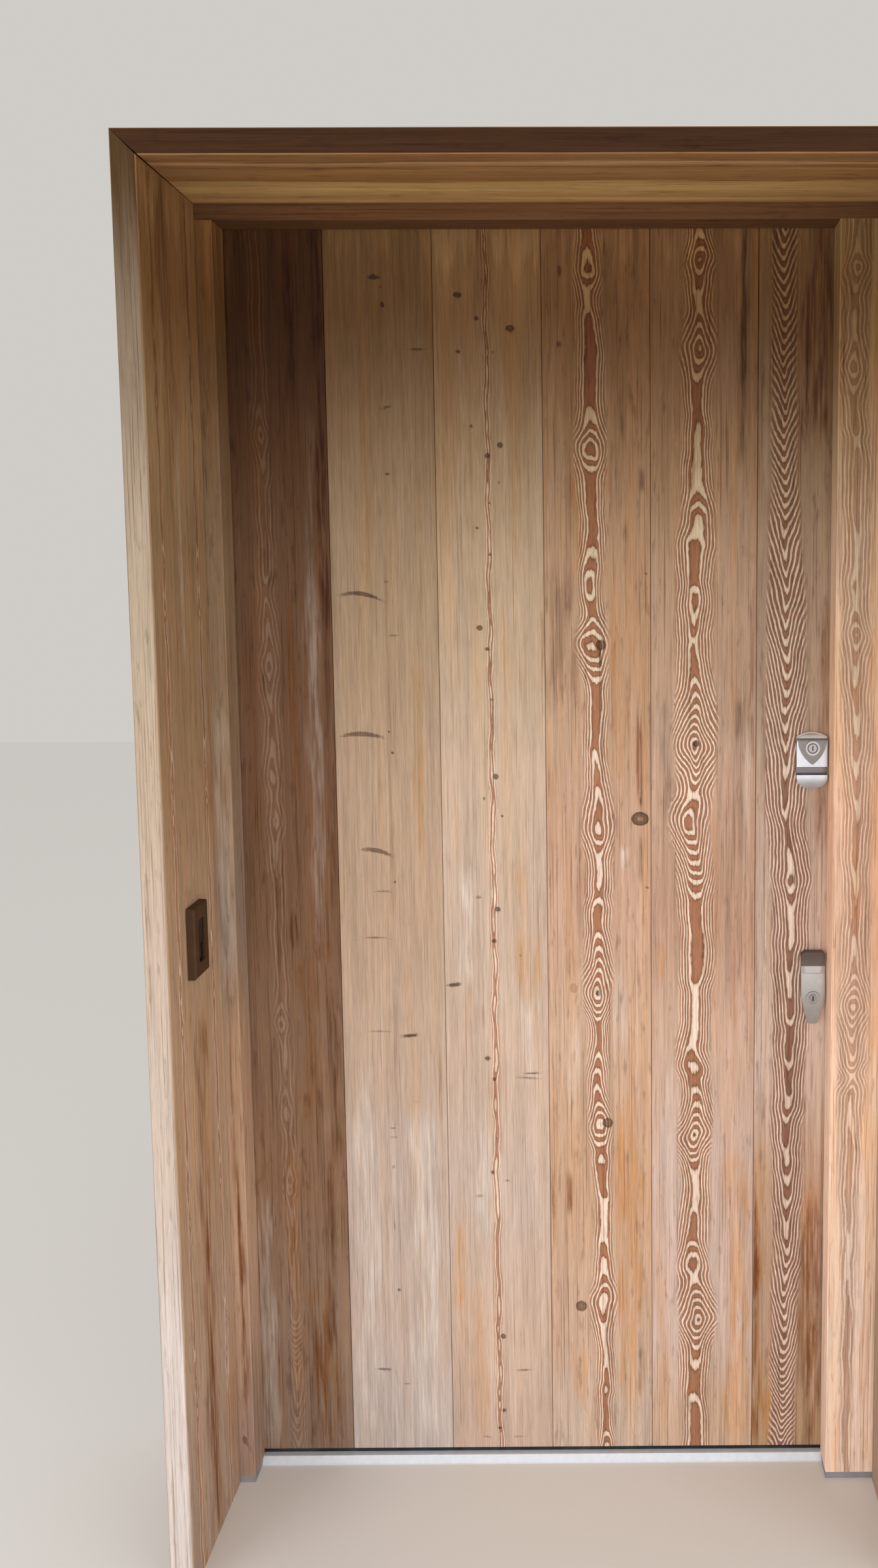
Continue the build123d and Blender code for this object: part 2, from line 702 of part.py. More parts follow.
def hinge_flap(height, side):
    """Flap with its knuckles: side 1 is the leaf's, side -1 the frame's, which holds the pin."""
    face_x = -LEAF_X if side > 0 else -REBATE_X
    x0, x1 = sorted((face_x, face_x + side * HINGE_FLAP_T))
    bottom = height - HINGE_H / 2
    flap = block(x0, x1, HINGE_Y - HINGE_FLAP_W, LEAF_T, bottom, bottom + HINGE_H)
    pitch = HINGE_H / KNUCKLES
    for i in range(0 if side < 0 else 1, KNUCKLES, 2):
        z0 = bottom + i * pitch + (KNUCKLE_GAP / 2 if i else 0)
        z1 = bottom + (i + 1) * pitch - (KNUCKLE_GAP / 2 if i < KNUCKLES - 1 else 0)
        flap += rod(KNUCKLE_R, (HINGE_X, HINGE_Y, z0), (HINGE_X, HINGE_Y, z1))
        flap += block(x0, x1, LEAF_T, HINGE_Y, z0, z1)
    if side > 0:
        return flap - hinge_pin(height, PIN_R + PIN_CLEAR)
    return flap + hinge_pin(height, PIN_R)


def hinge_pin(height, radius):
    """Steel pin through every knuckle of one hinge, or its bore."""
    half = HINGE_H / 2
    return rod(radius, (HINGE_X, HINGE_Y, height - half), (HINGE_X, HINGE_Y, height + half))


def pull_outline():
    """Face of the pull plate: arched top, straight sides, round bottom."""
    half = PULL_W / 2
    top, bottom = PULL_TOP, PULL_TOP - PULL_H
    shoulder, hip = top - PULL_ARCH, bottom + PULL_ROUND
    outline = ThreePointArc((-half, shoulder), (0, top), (half, shoulder))
    outline += Line((half, shoulder), (half, hip))
    outline += EllipticalCenterArc((0, hip), half, PULL_ROUND, start_angle=180, arc_size=180)
    outline += Line((-half, hip), (-half, shoulder))
    return Pos(LATCH_X, 0) * make_face(outline)


def shield_outline():
    """Raised shield round the latch cylinder, pointed at its foot."""
    half = PULL_W / 2 - SHIELD_MARGIN
    top = PULL_TOP - SHIELD_MARGIN
    shoulder = top - PULL_ARCH
    foot = PULL_TOP - SHIELD_L
    bulge = (half * 0.68, shoulder - (shoulder - foot) * 0.62)
    outline = ThreePointArc((-half, shoulder), (0, top), (half, shoulder))
    outline += ThreePointArc((half, shoulder), bulge, (0, foot))
    outline += ThreePointArc((0, foot), (-bulge[0], bulge[1]), (-half, shoulder))
    return Pos(LATCH_X, 0) * make_face(outline)


def latch_pull_plate():
    """Outside plate of the night latch, with a finger groove over a curved lip."""
    top, bottom = PULL_TOP, PULL_TOP - PULL_H
    slope_end = top - PULL_SLOPE
    groove_top, groove_end = top - PULL_GROOVE_TOP, top - PULL_GROOVE_END
    lip_mid = (groove_end + bottom) / 2
    profile = Line((0, bottom), (0, top)) + Line((0, top), (-PULL_EDGE_D, top))
    profile += Line((-PULL_EDGE_D, top), (-PULL_D, slope_end))
    profile += Line((-PULL_D, slope_end), (-PULL_D, groove_top))
    profile += Line((-PULL_D, groove_top), (-PULL_GROOVE_D, groove_top - 1))
    profile += Line((-PULL_GROOVE_D, groove_top - 1), (-PULL_GROOVE_D, groove_end))
    profile += Line((-PULL_GROOVE_D, groove_end), (-PULL_LIP_D, groove_end))
    profile += ThreePointArc(
        (-PULL_LIP_D, groove_end), (-PULL_LIP_D + 1, lip_mid), (-PULL_LIP_END_D, bottom)
    )
    profile += Line((-PULL_LIP_END_D, bottom), (0, bottom))
    half = PULL_W / 2
    side = lengthwise(make_face(profile), LATCH_X - half, LATCH_X + half)
    plate = outward(pull_outline(), 0, PULL_LIP_D) & side
    crown = Line((0, bottom), (0, top)) + Line((0, top), (-PULL_EDGE_D - SHIELD_MARGIN, top))
    crown += ThreePointArc(
        (-PULL_EDGE_D - SHIELD_MARGIN, top), (-SHIELD_D * 0.8, top - PULL_SLOPE * 0.4),
        (-SHIELD_D, slope_end),
    )
    crown += Line((-SHIELD_D, slope_end), (-SHIELD_D, bottom)) + Line((-SHIELD_D, bottom), (0, bottom))
    crowned = lengthwise(make_face(crown), LATCH_X - half, LATCH_X + half)
    plate += outward(shield_outline(), 0, SHIELD_D) & crowned
    return plate - through(LATCH_FACE_R + FACE_CLEAR, LATCH_X, LATCH_Z, -SHIELD_D, 0)


def latch_cylinder():
    """Rim cylinder: a stepped body with a ringed face, bored for its plug."""
    body = through(LATCH_FACE_R, LATCH_X, LATCH_Z, -LATCH_FACE_D, 0)
    body += through(LATCH_BODY_R, LATCH_X, LATCH_Z, 0, LATCH_BODY_BACK)
    sink = -LATCH_FACE_D + CYLINDER_RING_SINK
    body -= through(LATCH_RING_R, LATCH_X, LATCH_Z, -LATCH_FACE_D, sink)
    return body - through(PLUG_R + PLUG_CLEAR, LATCH_X, LATCH_Z, -LATCH_FACE_D, LATCH_BODY_BACK)


def latch_plug():
    """Key plug with its flat tail bar running in to the knob's spindle."""
    plug = through(PLUG_R, LATCH_X, LATCH_Z, -LATCH_FACE_D, LATCH_BODY_BACK)
    plug -= keyway(LATCH_X, LATCH_Z, -LATCH_FACE_D)
    y1 = LEAF_T + LATCH_TAIL_Y + LATCH_TAIL_T
    return plug + tail_bar(LATCH_BODY_BACK, y1, 0)


def tail_bar(y0, y1, clear):
    """Flat bar along the latch's axis, or its slot where clear is more than 0."""
    half_t, half_w = TAIL_T / 2 + clear, TAIL_W / 2 + clear
    return block(
        LATCH_X - half_t, LATCH_X + half_t, y0, y1 + clear, LATCH_Z - half_w, LATCH_Z + half_w
    )


def latch_case():
    """Hollow rim case on the leaf's inner face."""
    x1, y0 = LATCH_CASE_X, LEAF_T
    x0, y1 = x1 - LATCH_CASE_W, y0 + LATCH_CASE_D
    z0 = LATCH_Z - LATCH_CASE_H / 2
    z1 = z0 + LATCH_CASE_H
    wall = LATCH_CASE_WALL
    case = block(x0, x1, y0, y1, z0, z1)
    case = fillet(case.edges().filter_by(Axis.Z).group_by(Axis.Y)[-1], LATCH_CASE_R)
    case -= block(x0 + wall, x1 - wall, y0 + wall, y1 - wall, z0 + wall, z1 - wall)
    case -= latch_head(FACE_CLEAR, x1)
    case -= through(SPINDLE_R, LATCH_X, LATCH_Z, y0, y0 + wall)
    case -= through(SPINDLE_R + BOLT_CLEAR, LATCH_X, LATCH_Z, y1 - wall, y1)
    half_w, half_h = (SNIB_W + SNIB_TRAVEL) / 2 + BOLT_CLEAR, SNIB_H / 2 + BOLT_CLEAR
    middle = LATCH_X + SNIB_TRAVEL / 2
    snib_z = LATCH_Z - SNIB_DROP
    return case - block(
        middle - half_w, middle + half_w, y1 - wall, y1, snib_z - half_h, snib_z + half_h
    )


def latch_head(clear, nose_x):
    """Blunt block of the latch bolt's head, or its hole where clear is more than 0."""
    y0 = LEAF_T + (LATCH_CASE_D - LATCH_HEAD_T) / 2
    z0 = LATCH_Z + LATCH_TAIL_RISE + LATCH_TAIL_H - LATCH_HEAD_H
    return block(
        LATCH_CASE_X - LATCH_HEAD_L, nose_x, y0 - clear, y0 + LATCH_HEAD_T + clear,
        z0 - clear, z0 + LATCH_HEAD_H + clear,
    )


def latch_bolt():
    """Spring bolt drawn back into the case, bevelled where it strikes the keep."""
    bolt = latch_head(0, LATCH_CASE_X)
    y0 = LEAF_T + (LATCH_CASE_D - LATCH_HEAD_T) / 2
    nose = shape(
        (LATCH_CASE_X - LATCH_BEVEL, y0), (LATCH_CASE_X, y0),
        (LATCH_CASE_X, y0 + LATCH_HEAD_T - LATCH_CASE_WALL),
    )
    low = LATCH_Z + LATCH_TAIL_RISE
    bolt -= upright(nose, low - LATCH_HEAD_H, low + LATCH_HEAD_H)
    tail_y = LEAF_T + LATCH_TAIL_Y
    tail_x = LATCH_CASE_X - LATCH_CASE_W + LATCH_CASE_WALL + FINGER_W
    bolt += block(
        tail_x, LATCH_CASE_X - LATCH_HEAD_L, tail_y, tail_y + LATCH_TAIL_T,
        low, low + LATCH_TAIL_H,
    )
    return bolt - finger_notch(
        LATCH_X, LATCH_Z, LATCH_FINGER_R, tail_y, tail_y + LATCH_TAIL_T, LATCH_TAIL_RISE
    )


def latch_knob():
    """Inside turn knob with its spindle and the cam finger that moves the bolt."""
    y0 = LEAF_T + LATCH_TAIL_Y
    face = LEAF_T + LATCH_CASE_D + BOLT_CLEAR
    knob = through(SPINDLE_R, LATCH_X, LATCH_Z, y0, face)
    knob += through(KNOB_R, LATCH_X, LATCH_Z, face, face + KNOB_BASE_D)
    wing = Pos(LATCH_X, LATCH_Z) * SlotOverall(2 * KNOB_R, KNOB_GRIP_W, rotation=90)
    knob += outward(wing, face + KNOB_D, KNOB_D - KNOB_BASE_D)
    knob += finger(LATCH_X, LATCH_Z, LATCH_FINGER_R, y0, y0 + LATCH_TAIL_T)
    return knob - tail_bar(y0, y0 + LATCH_TAIL_T, FACE_CLEAR)


def latch_snib():
    """Thumb slide under the knob, with its guide inside the case."""
    front = LEAF_T + LATCH_CASE_D
    inside = front - LATCH_CASE_WALL - BOLT_CLEAR
    z = LATCH_Z - SNIB_DROP
    base = block(
        LATCH_X - SNIB_BASE_W / 2, LATCH_X + SNIB_BASE_W / 2, inside - SNIB_BASE_T, inside,
        z - SNIB_BASE_H / 2, z + SNIB_BASE_H / 2,
    )
    stem = block(
        LATCH_X - SNIB_W / 2, LATCH_X + SNIB_W / 2, inside, front + BOLT_CLEAR,
        z - SNIB_H / 2, z + SNIB_H / 2,
    )
    pad = block(
        LATCH_X - SNIB_PAD_W / 2, LATCH_X + SNIB_PAD_W / 2, front + BOLT_CLEAR,
        front + BOLT_CLEAR + SNIB_PAD_D, z - SNIB_PAD_H / 2, z + SNIB_PAD_H / 2,
    )
    return base + stem + chamfer(pad.edges().group_by(Axis.Y)[-1], SNIB_PAD_D / 3)


def latch_keep():
    """Staple on the jamb's inner face that takes the thrown latch bolt."""
    head_mid = LATCH_Z + LATCH_TAIL_RISE + LATCH_TAIL_H - LATCH_HEAD_H / 2
    z0 = head_mid - KEEP_H / 2
    keep = block(REBATE_X, REBATE_X + KEEP_W, LEAF_T, LEAF_T + KEEP_D, z0, z0 + KEEP_H)
    outer = keep.edges().filter_by(Axis.Z).group_by(Axis.Y)[-1].sort_by(Axis.X)[-1]
    keep = fillet(outer, LATCH_CASE_R)
    y0 = LEAF_T + (LATCH_CASE_D - LATCH_HEAD_T) / 2
    half = LATCH_HEAD_H / 2 + KEEP_PLAY
    keep -= block(
        REBATE_X, REBATE_X + KEEP_POCKET, y0 - KEEP_PLAY, y0 + LATCH_HEAD_T + KEEP_PLAY,
        head_mid - half, head_mid + half,
    )
    return keep


def escutcheon_outline():
    """Face of the deadlock's outside plate, tapered to its foot."""
    half, tip = ESCUTCHEON_W / 2, ESCUTCHEON_TIP_W / 2
    top, bottom = ESCUTCHEON_TOP, ESCUTCHEON_TOP - ESCUTCHEON_H
    taper = top - ESCUTCHEON_STRAIGHT
    outline = shape(
        (half, top), (half, taper), (tip, bottom), (-tip, bottom), (-half, taper), (-half, top)
    )
    outline = chamfer(outline.vertices().group_by(Axis.Y)[-1], ESCUTCHEON_CORNER)
    outline = fillet(outline.vertices().group_by(Axis.Y)[1], ESCUTCHEON_HIP_R)
    outline = fillet(outline.vertices().group_by(Axis.Y)[0], ESCUTCHEON_TIP_R)
    return Pos(DEADLOCK_X, 0) * outline


def deadlock_escutcheon():
    """Outside plate with an outcurved top, a bare label window and a hole for the barrel."""
    top, bottom = ESCUTCHEON_TOP, ESCUTCHEON_TOP - ESCUTCHEON_H
    waist = top - ESCUTCHEON_WAIST
    label_end = waist - LABEL_H
    hollow = (-(ESCUTCHEON_LIP_D + ESCUTCHEON_WAIST_D) / 2 + LABEL_SINK, (top + waist) / 2)
    profile = Line((0, bottom), (0, top)) + Line((0, top), (-ESCUTCHEON_LIP_D, top))
    profile += ThreePointArc((-ESCUTCHEON_LIP_D, top), hollow, (-ESCUTCHEON_WAIST_D, waist))
    profile += Line((-ESCUTCHEON_WAIST_D, waist), (-ESCUTCHEON_WAIST_D, label_end))
    profile += ThreePointArc(
        (-ESCUTCHEON_WAIST_D, label_end), (-ESCUTCHEON_BELLY_D, DEADLOCK_Z),
        (-ESCUTCHEON_TIP_D, bottom),
    )
    profile += Line((-ESCUTCHEON_TIP_D, bottom), (0, bottom))
    half = ESCUTCHEON_W / 2
    side = lengthwise(make_face(profile), DEADLOCK_X - half, DEADLOCK_X + half)
    plate = outward(escutcheon_outline(), 0, ESCUTCHEON_LIP_D) & side
    label = shape(
        (-LABEL_W / 2, waist), (LABEL_W / 2, waist), (LABEL_FOOT_W / 2, label_end),
        (-LABEL_FOOT_W / 2, label_end),
    )
    plate -= outward(Pos(DEADLOCK_X, 0) * label, -ESCUTCHEON_WAIST_D + LABEL_SINK, LABEL_SINK)
    return plate - through(BARREL_R + FACE_CLEAR, DEADLOCK_X, DEADLOCK_Z, -ESCUTCHEON_LIP_D, 0)


def deadlock_rose():
    """Round plate behind the thumbturn."""
    rose = through(ROSE_R, DEADLOCK_X, DEADLOCK_Z, LEAF_T, LEAF_T + ROSE_D)
    return rose - through(BARREL_R + FACE_CLEAR, DEADLOCK_X, DEADLOCK_Z, LEAF_T, LEAF_T + ROSE_D)


def cam_span():
    """Front and back of the cam's room in the deadlock's barrel."""
    half = CAM_T / 2 + CAM_GAP
    return LOCK_Y - half, LOCK_Y + half


def deadlock_cylinder():
    """Barrel through the leaf, open above its cam, with a ringed face."""
    face = -ESCUTCHEON_BELLY_D - BARREL_PROUD
    back = LEAF_T + ROSE_D
    barrel = through(BARREL_R, DEADLOCK_X, DEADLOCK_Z, face, back)
    barrel -= through(BARREL_RING_R, DEADLOCK_X, DEADLOCK_Z, face, face + CYLINDER_RING_SINK)
    barrel -= through(PLUG_R + PLUG_CLEAR, DEADLOCK_X, DEADLOCK_Z, face, back)
    y0, y1 = cam_span()
    barrel -= through(CAM_HUB_R + BOLT_CLEAR, DEADLOCK_X, DEADLOCK_Z, y0, y1)
    return barrel - block(
        DEADLOCK_X - BARREL_R, DEADLOCK_X + BARREL_R, y0, y1, DEADLOCK_Z, DEADLOCK_Z + BARREL_R
    )


def deadlock_plug():
    """Outer key plug with the cam that throws the bolt."""
    face = -ESCUTCHEON_BELLY_D - BARREL_PROUD
    y0, y1 = cam_span()
    plug = through(PLUG_R, DEADLOCK_X, DEADLOCK_Z, face, y0 + CAM_GAP)
    plug -= keyway(DEADLOCK_X, DEADLOCK_Z, face)
    plug += through(CAM_HUB_R, DEADLOCK_X, DEADLOCK_Z, y0 + CAM_GAP, y1 - CAM_GAP)
    half = BOLT_TAIL_T / 2
    return plug + finger(DEADLOCK_X, DEADLOCK_Z, BOLT_FINGER_R, LOCK_Y - half, LOCK_Y + half)


def deadlock_thumbturn():
    """Inside turn on a spindle that ends at the cam."""
    y0 = cam_span()[1] - CAM_GAP
    face = LEAF_T + ROSE_D + THUMB_GAP
    turn = through(PLUG_R, DEADLOCK_X, DEADLOCK_Z, y0, face)
    wing = Pos(DEADLOCK_X, DEADLOCK_Z) * SlotOverall(THUMB_L, THUMB_W, rotation=90)
    grip = outward(wing, face + THUMB_D, THUMB_D)
    grip = chamfer(grip.edges().group_by(Axis.Y)[-1], THUMB_EASE)
    return turn + grip


def forend(outer_x):
    """Face plate of the mortice lock from its bed out to outer_x."""
    middle = DEADLOCK_Z + (CASE_ABOVE - CASE_BELOW) / 2
    return block(
        FOREND_X - FOREND_T, outer_x, LOCK_Y - FOREND_W / 2, LOCK_Y + FOREND_W / 2,
        middle - FOREND_H / 2, middle + FOREND_H / 2,
    )


def bolt_head(clear, nose_x):
    """Deadbolt's head, or its hole where clear is more than 0."""
    half = CASE_T / 2 - CASE_WALL - BOLT_CLEAR + clear
    z0 = DEADLOCK_Z + BOLT_RISE
    return block(
        FOREND_X - BOLT_HEAD_L, nose_x, LOCK_Y - half, LOCK_Y + half,
        z0 - clear, z0 + BOLT_HEAD_H + clear,
    )


def deadlock_case():
    """Hollow mortice case with its forend."""
    x0, half = LEAF_X - CASE_DEPTH, CASE_T / 2
    z0, z1 = DEADLOCK_Z - CASE_BELOW, DEADLOCK_Z + CASE_ABOVE
    x1 = FOREND_X - FOREND_T
    case = block(x0, x1, LOCK_Y - half, LOCK_Y + half, z0, z1)
    wall = CASE_WALL
    case -= block(
        x0 + wall, x1 - wall, LOCK_Y - half + wall, LOCK_Y + half - wall, z0 + wall, z1 - wall
    )
    case += forend(FOREND_X)
    case -= bolt_head(BOLT_CLEAR, FOREND_X)
    hole = through(BARREL_R + FACE_CLEAR, DEADLOCK_X, DEADLOCK_Z, LOCK_Y - half, LOCK_Y + half)
    return case - hole


def deadbolt():
    """Square bolt drawn back behind the forend, notched for the cam's finger."""
    bolt = bolt_head(0, FOREND_X)
    low, half = DEADLOCK_Z + BOLT_RISE, BOLT_TAIL_T / 2
    tail_x = FOREND_X - BOLT_HEAD_L
    bolt += block(
        tail_x - BOLT_TAIL_L, tail_x, LOCK_Y - half, LOCK_Y + half, low, low + BOLT_TAIL_H
    )
    return bolt - finger_notch(
        DEADLOCK_X, DEADLOCK_Z, BOLT_FINGER_R, LOCK_Y - half, LOCK_Y + half, BOLT_RISE
    )


def strike_hole(x0, x1):
    """Hole for the thrown deadbolt in the strike and the jamb."""
    half = CASE_T / 2 - CASE_WALL - BOLT_CLEAR + STRIKE_PLAY
    z0 = DEADLOCK_Z + BOLT_RISE
    return block(
        x0, x1, LOCK_Y - half, LOCK_Y + half, z0 - STRIKE_PLAY, z0 + BOLT_HEAD_H + STRIKE_PLAY
    )


def strike_plate():
    """Flush plate in the jamb's rebate."""
    middle = DEADLOCK_Z + BOLT_RISE + BOLT_HEAD_H / 2
    plate = block(
        REBATE_X, REBATE_X + FOREND_T, LOCK_Y - FOREND_W / 2, LOCK_Y + FOREND_W / 2,
        middle - STRIKE_H / 2, middle + STRIKE_H / 2,
    )
    return plate - strike_hole(REBATE_X, REBATE_X + FOREND_T)


def bell_slot(clear):
    """Rounded slot of the bell push, facing the opening."""
    slot = RectangleRounded(
        BELL_SLOT_W - 2 * clear, BELL_SLOT_H - 2 * clear, BELL_SLOT_R - clear
    )
    return Pos(BELL_Y, BELL_Z) * slot


def bell_half(section, upper):
    """Part of a slot-shaped section above or below its split."""
    split_z = BELL_Z - BELL_SPLIT
    gap = BELL_CLEAR / 2
    top = BELL_SLOT_H
    low, high = (split_z + gap, split_z + top) if upper else (split_z - top, split_z - gap)
    half = BELL_SLOT_W
    window = shape(
        (BELL_Y - half, low), (BELL_Y + half, low), (BELL_Y + half, high), (BELL_Y - half, high)
    )
    return section & window


def bell_housing():
    """Moulded bell push body screwed flat to the lining."""
    face = LINING_X + BELL_D
    body = lengthwise(Pos(BELL_Y, BELL_Z) * Rectangle(BELL_W, BELL_H), LINING_X, face)
    body = chamfer(body.edges().group_by(Axis.X)[-1], BELL_EASE)
    return body - lengthwise(bell_slot(0), face - BELL_SLOT_D, face)


def bell_button():
    """Crowned push in the slot's upper part."""
    face = LINING_X + BELL_D - BELL_BUTTON_SINK
    button = lengthwise(bell_half(bell_slot(BELL_CLEAR), True), face - BELL_BUTTON_T, face)
    return chamfer(button.edges().group_by(Axis.X)[-1], BELL_BUTTON_CROWN)


def bell_window():
    """Dark lens that fills the slot's lower part."""
    bed = LINING_X + BELL_D - BELL_SLOT_D
    lens = bell_half(bell_slot(BELL_WINDOW_CLEAR), False)
    return lengthwise(lens, bed, LINING_X + BELL_D - BELL_WINDOW_SINK)


def parts():
    """Every piece of the door by name."""
    made = {
        "frame_head": frame_head(),
        "frame_jamb_left": frame_jamb_left(),
        "frame_jamb_right": frame_jamb_right(),
        "casing_left": mirror(casing_upright(-LEFT_X), about=Plane.YZ),
        "casing_right": casing_upright(RIGHT_X),
        "casing_head": casing_head(),
        "sill_block_left": sill_block(LEFT_X, -HALF_W),
        "sill_block_right": sill_block(HALF_W, RIGHT_X),
        "threshold": threshold(),
        "threshold_seal": threshold_seal(),
        "frame_seal": frame_seal(),
        "stile_hinge": stile_hinge(),
        "stile_lock": stile_lock(),
        "latch_pull_plate": latch_pull_plate(),
        "latch_cylinder": latch_cylinder(),
        "latch_plug": latch_plug(),
        "latch_case": latch_case(),
        "latch_bolt": latch_bolt(),
        "latch_knob": latch_knob(),
        "latch_snib": latch_snib(),
        "latch_keep": latch_keep(),
        "deadlock_escutcheon": deadlock_escutcheon(),
        "deadlock_rose": deadlock_rose(),
        "deadlock_cylinder": deadlock_cylinder(),
        "deadlock_plug": deadlock_plug(),
        "deadlock_thumbturn": deadlock_thumbturn(),
        "deadlock_case": deadlock_case(),
        "deadbolt": deadbolt(),
        "strike_plate": strike_plate(),
        "bell_housing": bell_housing(),
        "bell_button": bell_button(),
        "bell_window": bell_window(),
    }
    for i, board in enumerate(outer_boards(), 1):
        made[f"outer_board_{i}"] = board
    for name, (z0, z1) in rail_heights().items():
        made[name] = rail(z0, z1)
    for name, (z0, z1) in field_heights().items():
        made[f"insulation_{name}"] = insulation(z0, z1)
        made[f"inner_boards_{name}"] = inner_boards(z0, z1)
    for name, height in HINGE_HEIGHTS.items():
        made[f"hinge_frame_flap_{name}"] = hinge_flap(height, -1)
        made[f"hinge_door_flap_{name}"] = hinge_flap(height, 1)
    return made


os.makedirs("parts", exist_ok=True)
for node, solid in parts().items():
    export_step(solid, f"parts/{node}.step")
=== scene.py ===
"""Looks of a timber front door in its frame: weathered boards, frame, locks, hinges, bell and sill.

Lengths in the tables are millimetres in the frame of the CAD model: X to the right, -Y to the street, +Z up.
"""

import json
import logging
import math
from dataclasses import dataclass
from enum import Enum
from typing import Any

import bpy
import numpy as np
from mathutils import Matrix, Vector

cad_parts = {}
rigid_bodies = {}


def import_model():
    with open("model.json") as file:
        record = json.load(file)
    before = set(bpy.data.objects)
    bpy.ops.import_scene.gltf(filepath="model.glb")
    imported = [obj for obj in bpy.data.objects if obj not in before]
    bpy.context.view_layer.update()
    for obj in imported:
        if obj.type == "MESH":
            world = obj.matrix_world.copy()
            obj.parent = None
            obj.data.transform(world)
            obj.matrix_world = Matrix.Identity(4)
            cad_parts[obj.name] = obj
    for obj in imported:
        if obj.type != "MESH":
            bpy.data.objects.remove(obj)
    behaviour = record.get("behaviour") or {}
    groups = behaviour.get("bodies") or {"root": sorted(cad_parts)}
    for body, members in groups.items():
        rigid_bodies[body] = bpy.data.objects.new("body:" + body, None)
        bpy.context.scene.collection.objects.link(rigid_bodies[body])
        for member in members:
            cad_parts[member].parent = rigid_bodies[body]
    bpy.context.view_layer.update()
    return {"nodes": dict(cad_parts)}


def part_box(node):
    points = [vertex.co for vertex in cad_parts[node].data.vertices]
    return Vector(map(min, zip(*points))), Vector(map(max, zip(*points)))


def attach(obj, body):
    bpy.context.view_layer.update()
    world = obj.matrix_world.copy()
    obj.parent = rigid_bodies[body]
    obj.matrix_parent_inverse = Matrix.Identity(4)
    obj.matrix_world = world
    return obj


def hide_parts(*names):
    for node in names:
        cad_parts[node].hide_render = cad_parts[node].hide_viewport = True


bpy.ops.object.select_all(action="SELECT")
bpy.ops.object.delete()
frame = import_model()

MM = 0.001
SMOOTH_ANGLE = math.radians(20)
log = logging.getLogger("front_door")

Place = tuple[float, float, float]
Run = tuple[tuple[float, float], ...]
Stops = tuple[tuple[float, str], ...]


# Small helpers


def linear(code: str) -> tuple[float, float, float, float]:
    """Turns an sRGB hex colour into linear light.

    Args:
        code: the colour as "#rrggbb".

    Returns:
        Red, green, blue and an alpha of 1.
    """
    parts = [int(code[i:i + 2], 16) / 255 for i in (1, 3, 5)]
    lit = [c / 12.92 if c <= 0.04045 else ((c + 0.055) / 1.055) ** 2.4 for c in parts]
    return (lit[0], lit[1], lit[2], 1.0)


def add(tree: bpy.types.NodeTree, kind: str, inputs: dict[str | int, Any] | None = None,
        stops: Stops = (), **settings: Any) -> bpy.types.Node:
    """Adds one node with its settings and links.

    Args:
        tree: the tree that gets the node.
        kind: the node's type, without the leading ShaderNode.
        inputs: what each input gets, by name or number: a value, a hex colour, or an output that feeds it.
        stops: for a colour ramp, pairs of a place from 0 to 1 and a hex colour.
        **settings: properties of the node, or of its ramp where it has stops.

    Returns:
        The new node.
    """
    node = tree.nodes.new("ShaderNode" + kind)
    owner = node.color_ramp if stops else node
    for key, value in settings.items():
        setattr(owner, key, value)
    for key, value in (inputs or {}).items():
        if isinstance(value, bpy.types.NodeSocket):
            tree.links.new(value, node.inputs[key])
        else:
            node.inputs[key].default_value = linear(value) if isinstance(value, str) else value
    if stops:
        ordered = sorted(stops)
        for element, (place, code) in zip(owner.elements, (ordered[0], ordered[-1])):
            element.position, element.color = place, linear(code)
        for place, code in ordered[1:-1]:
            owner.elements.new(place).color = linear(code)
    return node


def weighted(tree: bpy.types.NodeTree, base: Any, *parts: tuple[Any, float]) -> Any:
    """Adds scaled patterns to a base, each about its middle of 0.5.

    Args:
        tree: the material's tree.
        base: a number or a socket to start from.
        *parts: pairs of a pattern's socket and how much of it is added.

    Returns:
        The socket with the total.
    """
    for pattern, amount in parts:
        centred = add(tree, "Math", {0: pattern, 1: 0.5}, operation="SUBTRACT").outputs[0]
        base = add(tree, "Math", {0: centred, 1: amount, 2: base}, operation="MULTIPLY_ADD").outputs[0]
    return base


def pairs(places: tuple[float, ...], codes: str) -> Stops:
    """Pairs places, such as heights in mm, with the hex colours of a line of text."""
    return tuple(zip(places, codes.split(), strict=True))


def side(name: str, end: int, axis: int) -> float:
    """Gives one side of a node's box in mm: end 0 is its low side and 1 its high side."""
    return round(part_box(name)[end][axis] / MM, 1)


def centre(name: str, axis: int) -> float:
    """Gives the middle of a node's box along an axis, in mm."""
    return (side(name, 0, axis) + side(name, 1, axis)) / 2


HEIGHT_MM = side("casing_left", 1, 2)
STREET_Y = side("casing_left", 0, 1)
POST_Y = side("frame_jamb_left", 0, 1)
ROOM_Y = side("frame_jamb_left", 1, 1)


def shares(stops: Stops, low: float = 0.0, high: float = HEIGHT_MM) -> Stops:
    """Turns places in mm into shares of the way from low to high, for a colour ramp."""
    return tuple(((place - low) / (high - low), code) for place, code in stops)


def paint(name: str, material: bpy.types.Material) -> None:
    """Gives every slot of a CAD node this material.

    Args:
        name: the node's name.
        material: its material.
    """
    data = frame["nodes"][name].data
    if not data.materials:
        data.materials.append(material)
    for index in range(len(data.materials)):
        data.materials[index] = material


def only(obj: bpy.types.Object) -> None:
    """Selects this object alone and makes it the active one.

    Args:
        obj: the object.
    """
    bpy.ops.object.select_all(action="DESELECT")
    obj.select_set(True)
    bpy.context.view_layer.objects.active = obj


# Timber


class Grain(Enum):
    """The axis that a member's grain follows."""

    UPRIGHT = 2
    LEVEL = 0


class Tint(Enum):
    """What a stained patch does to the colour under it. Each value is also the name of a mesh attribute."""

    AMBER = "amber"
    UMBER = "umber"
    SLATE = "slate"
    BLEACH = "bleach"


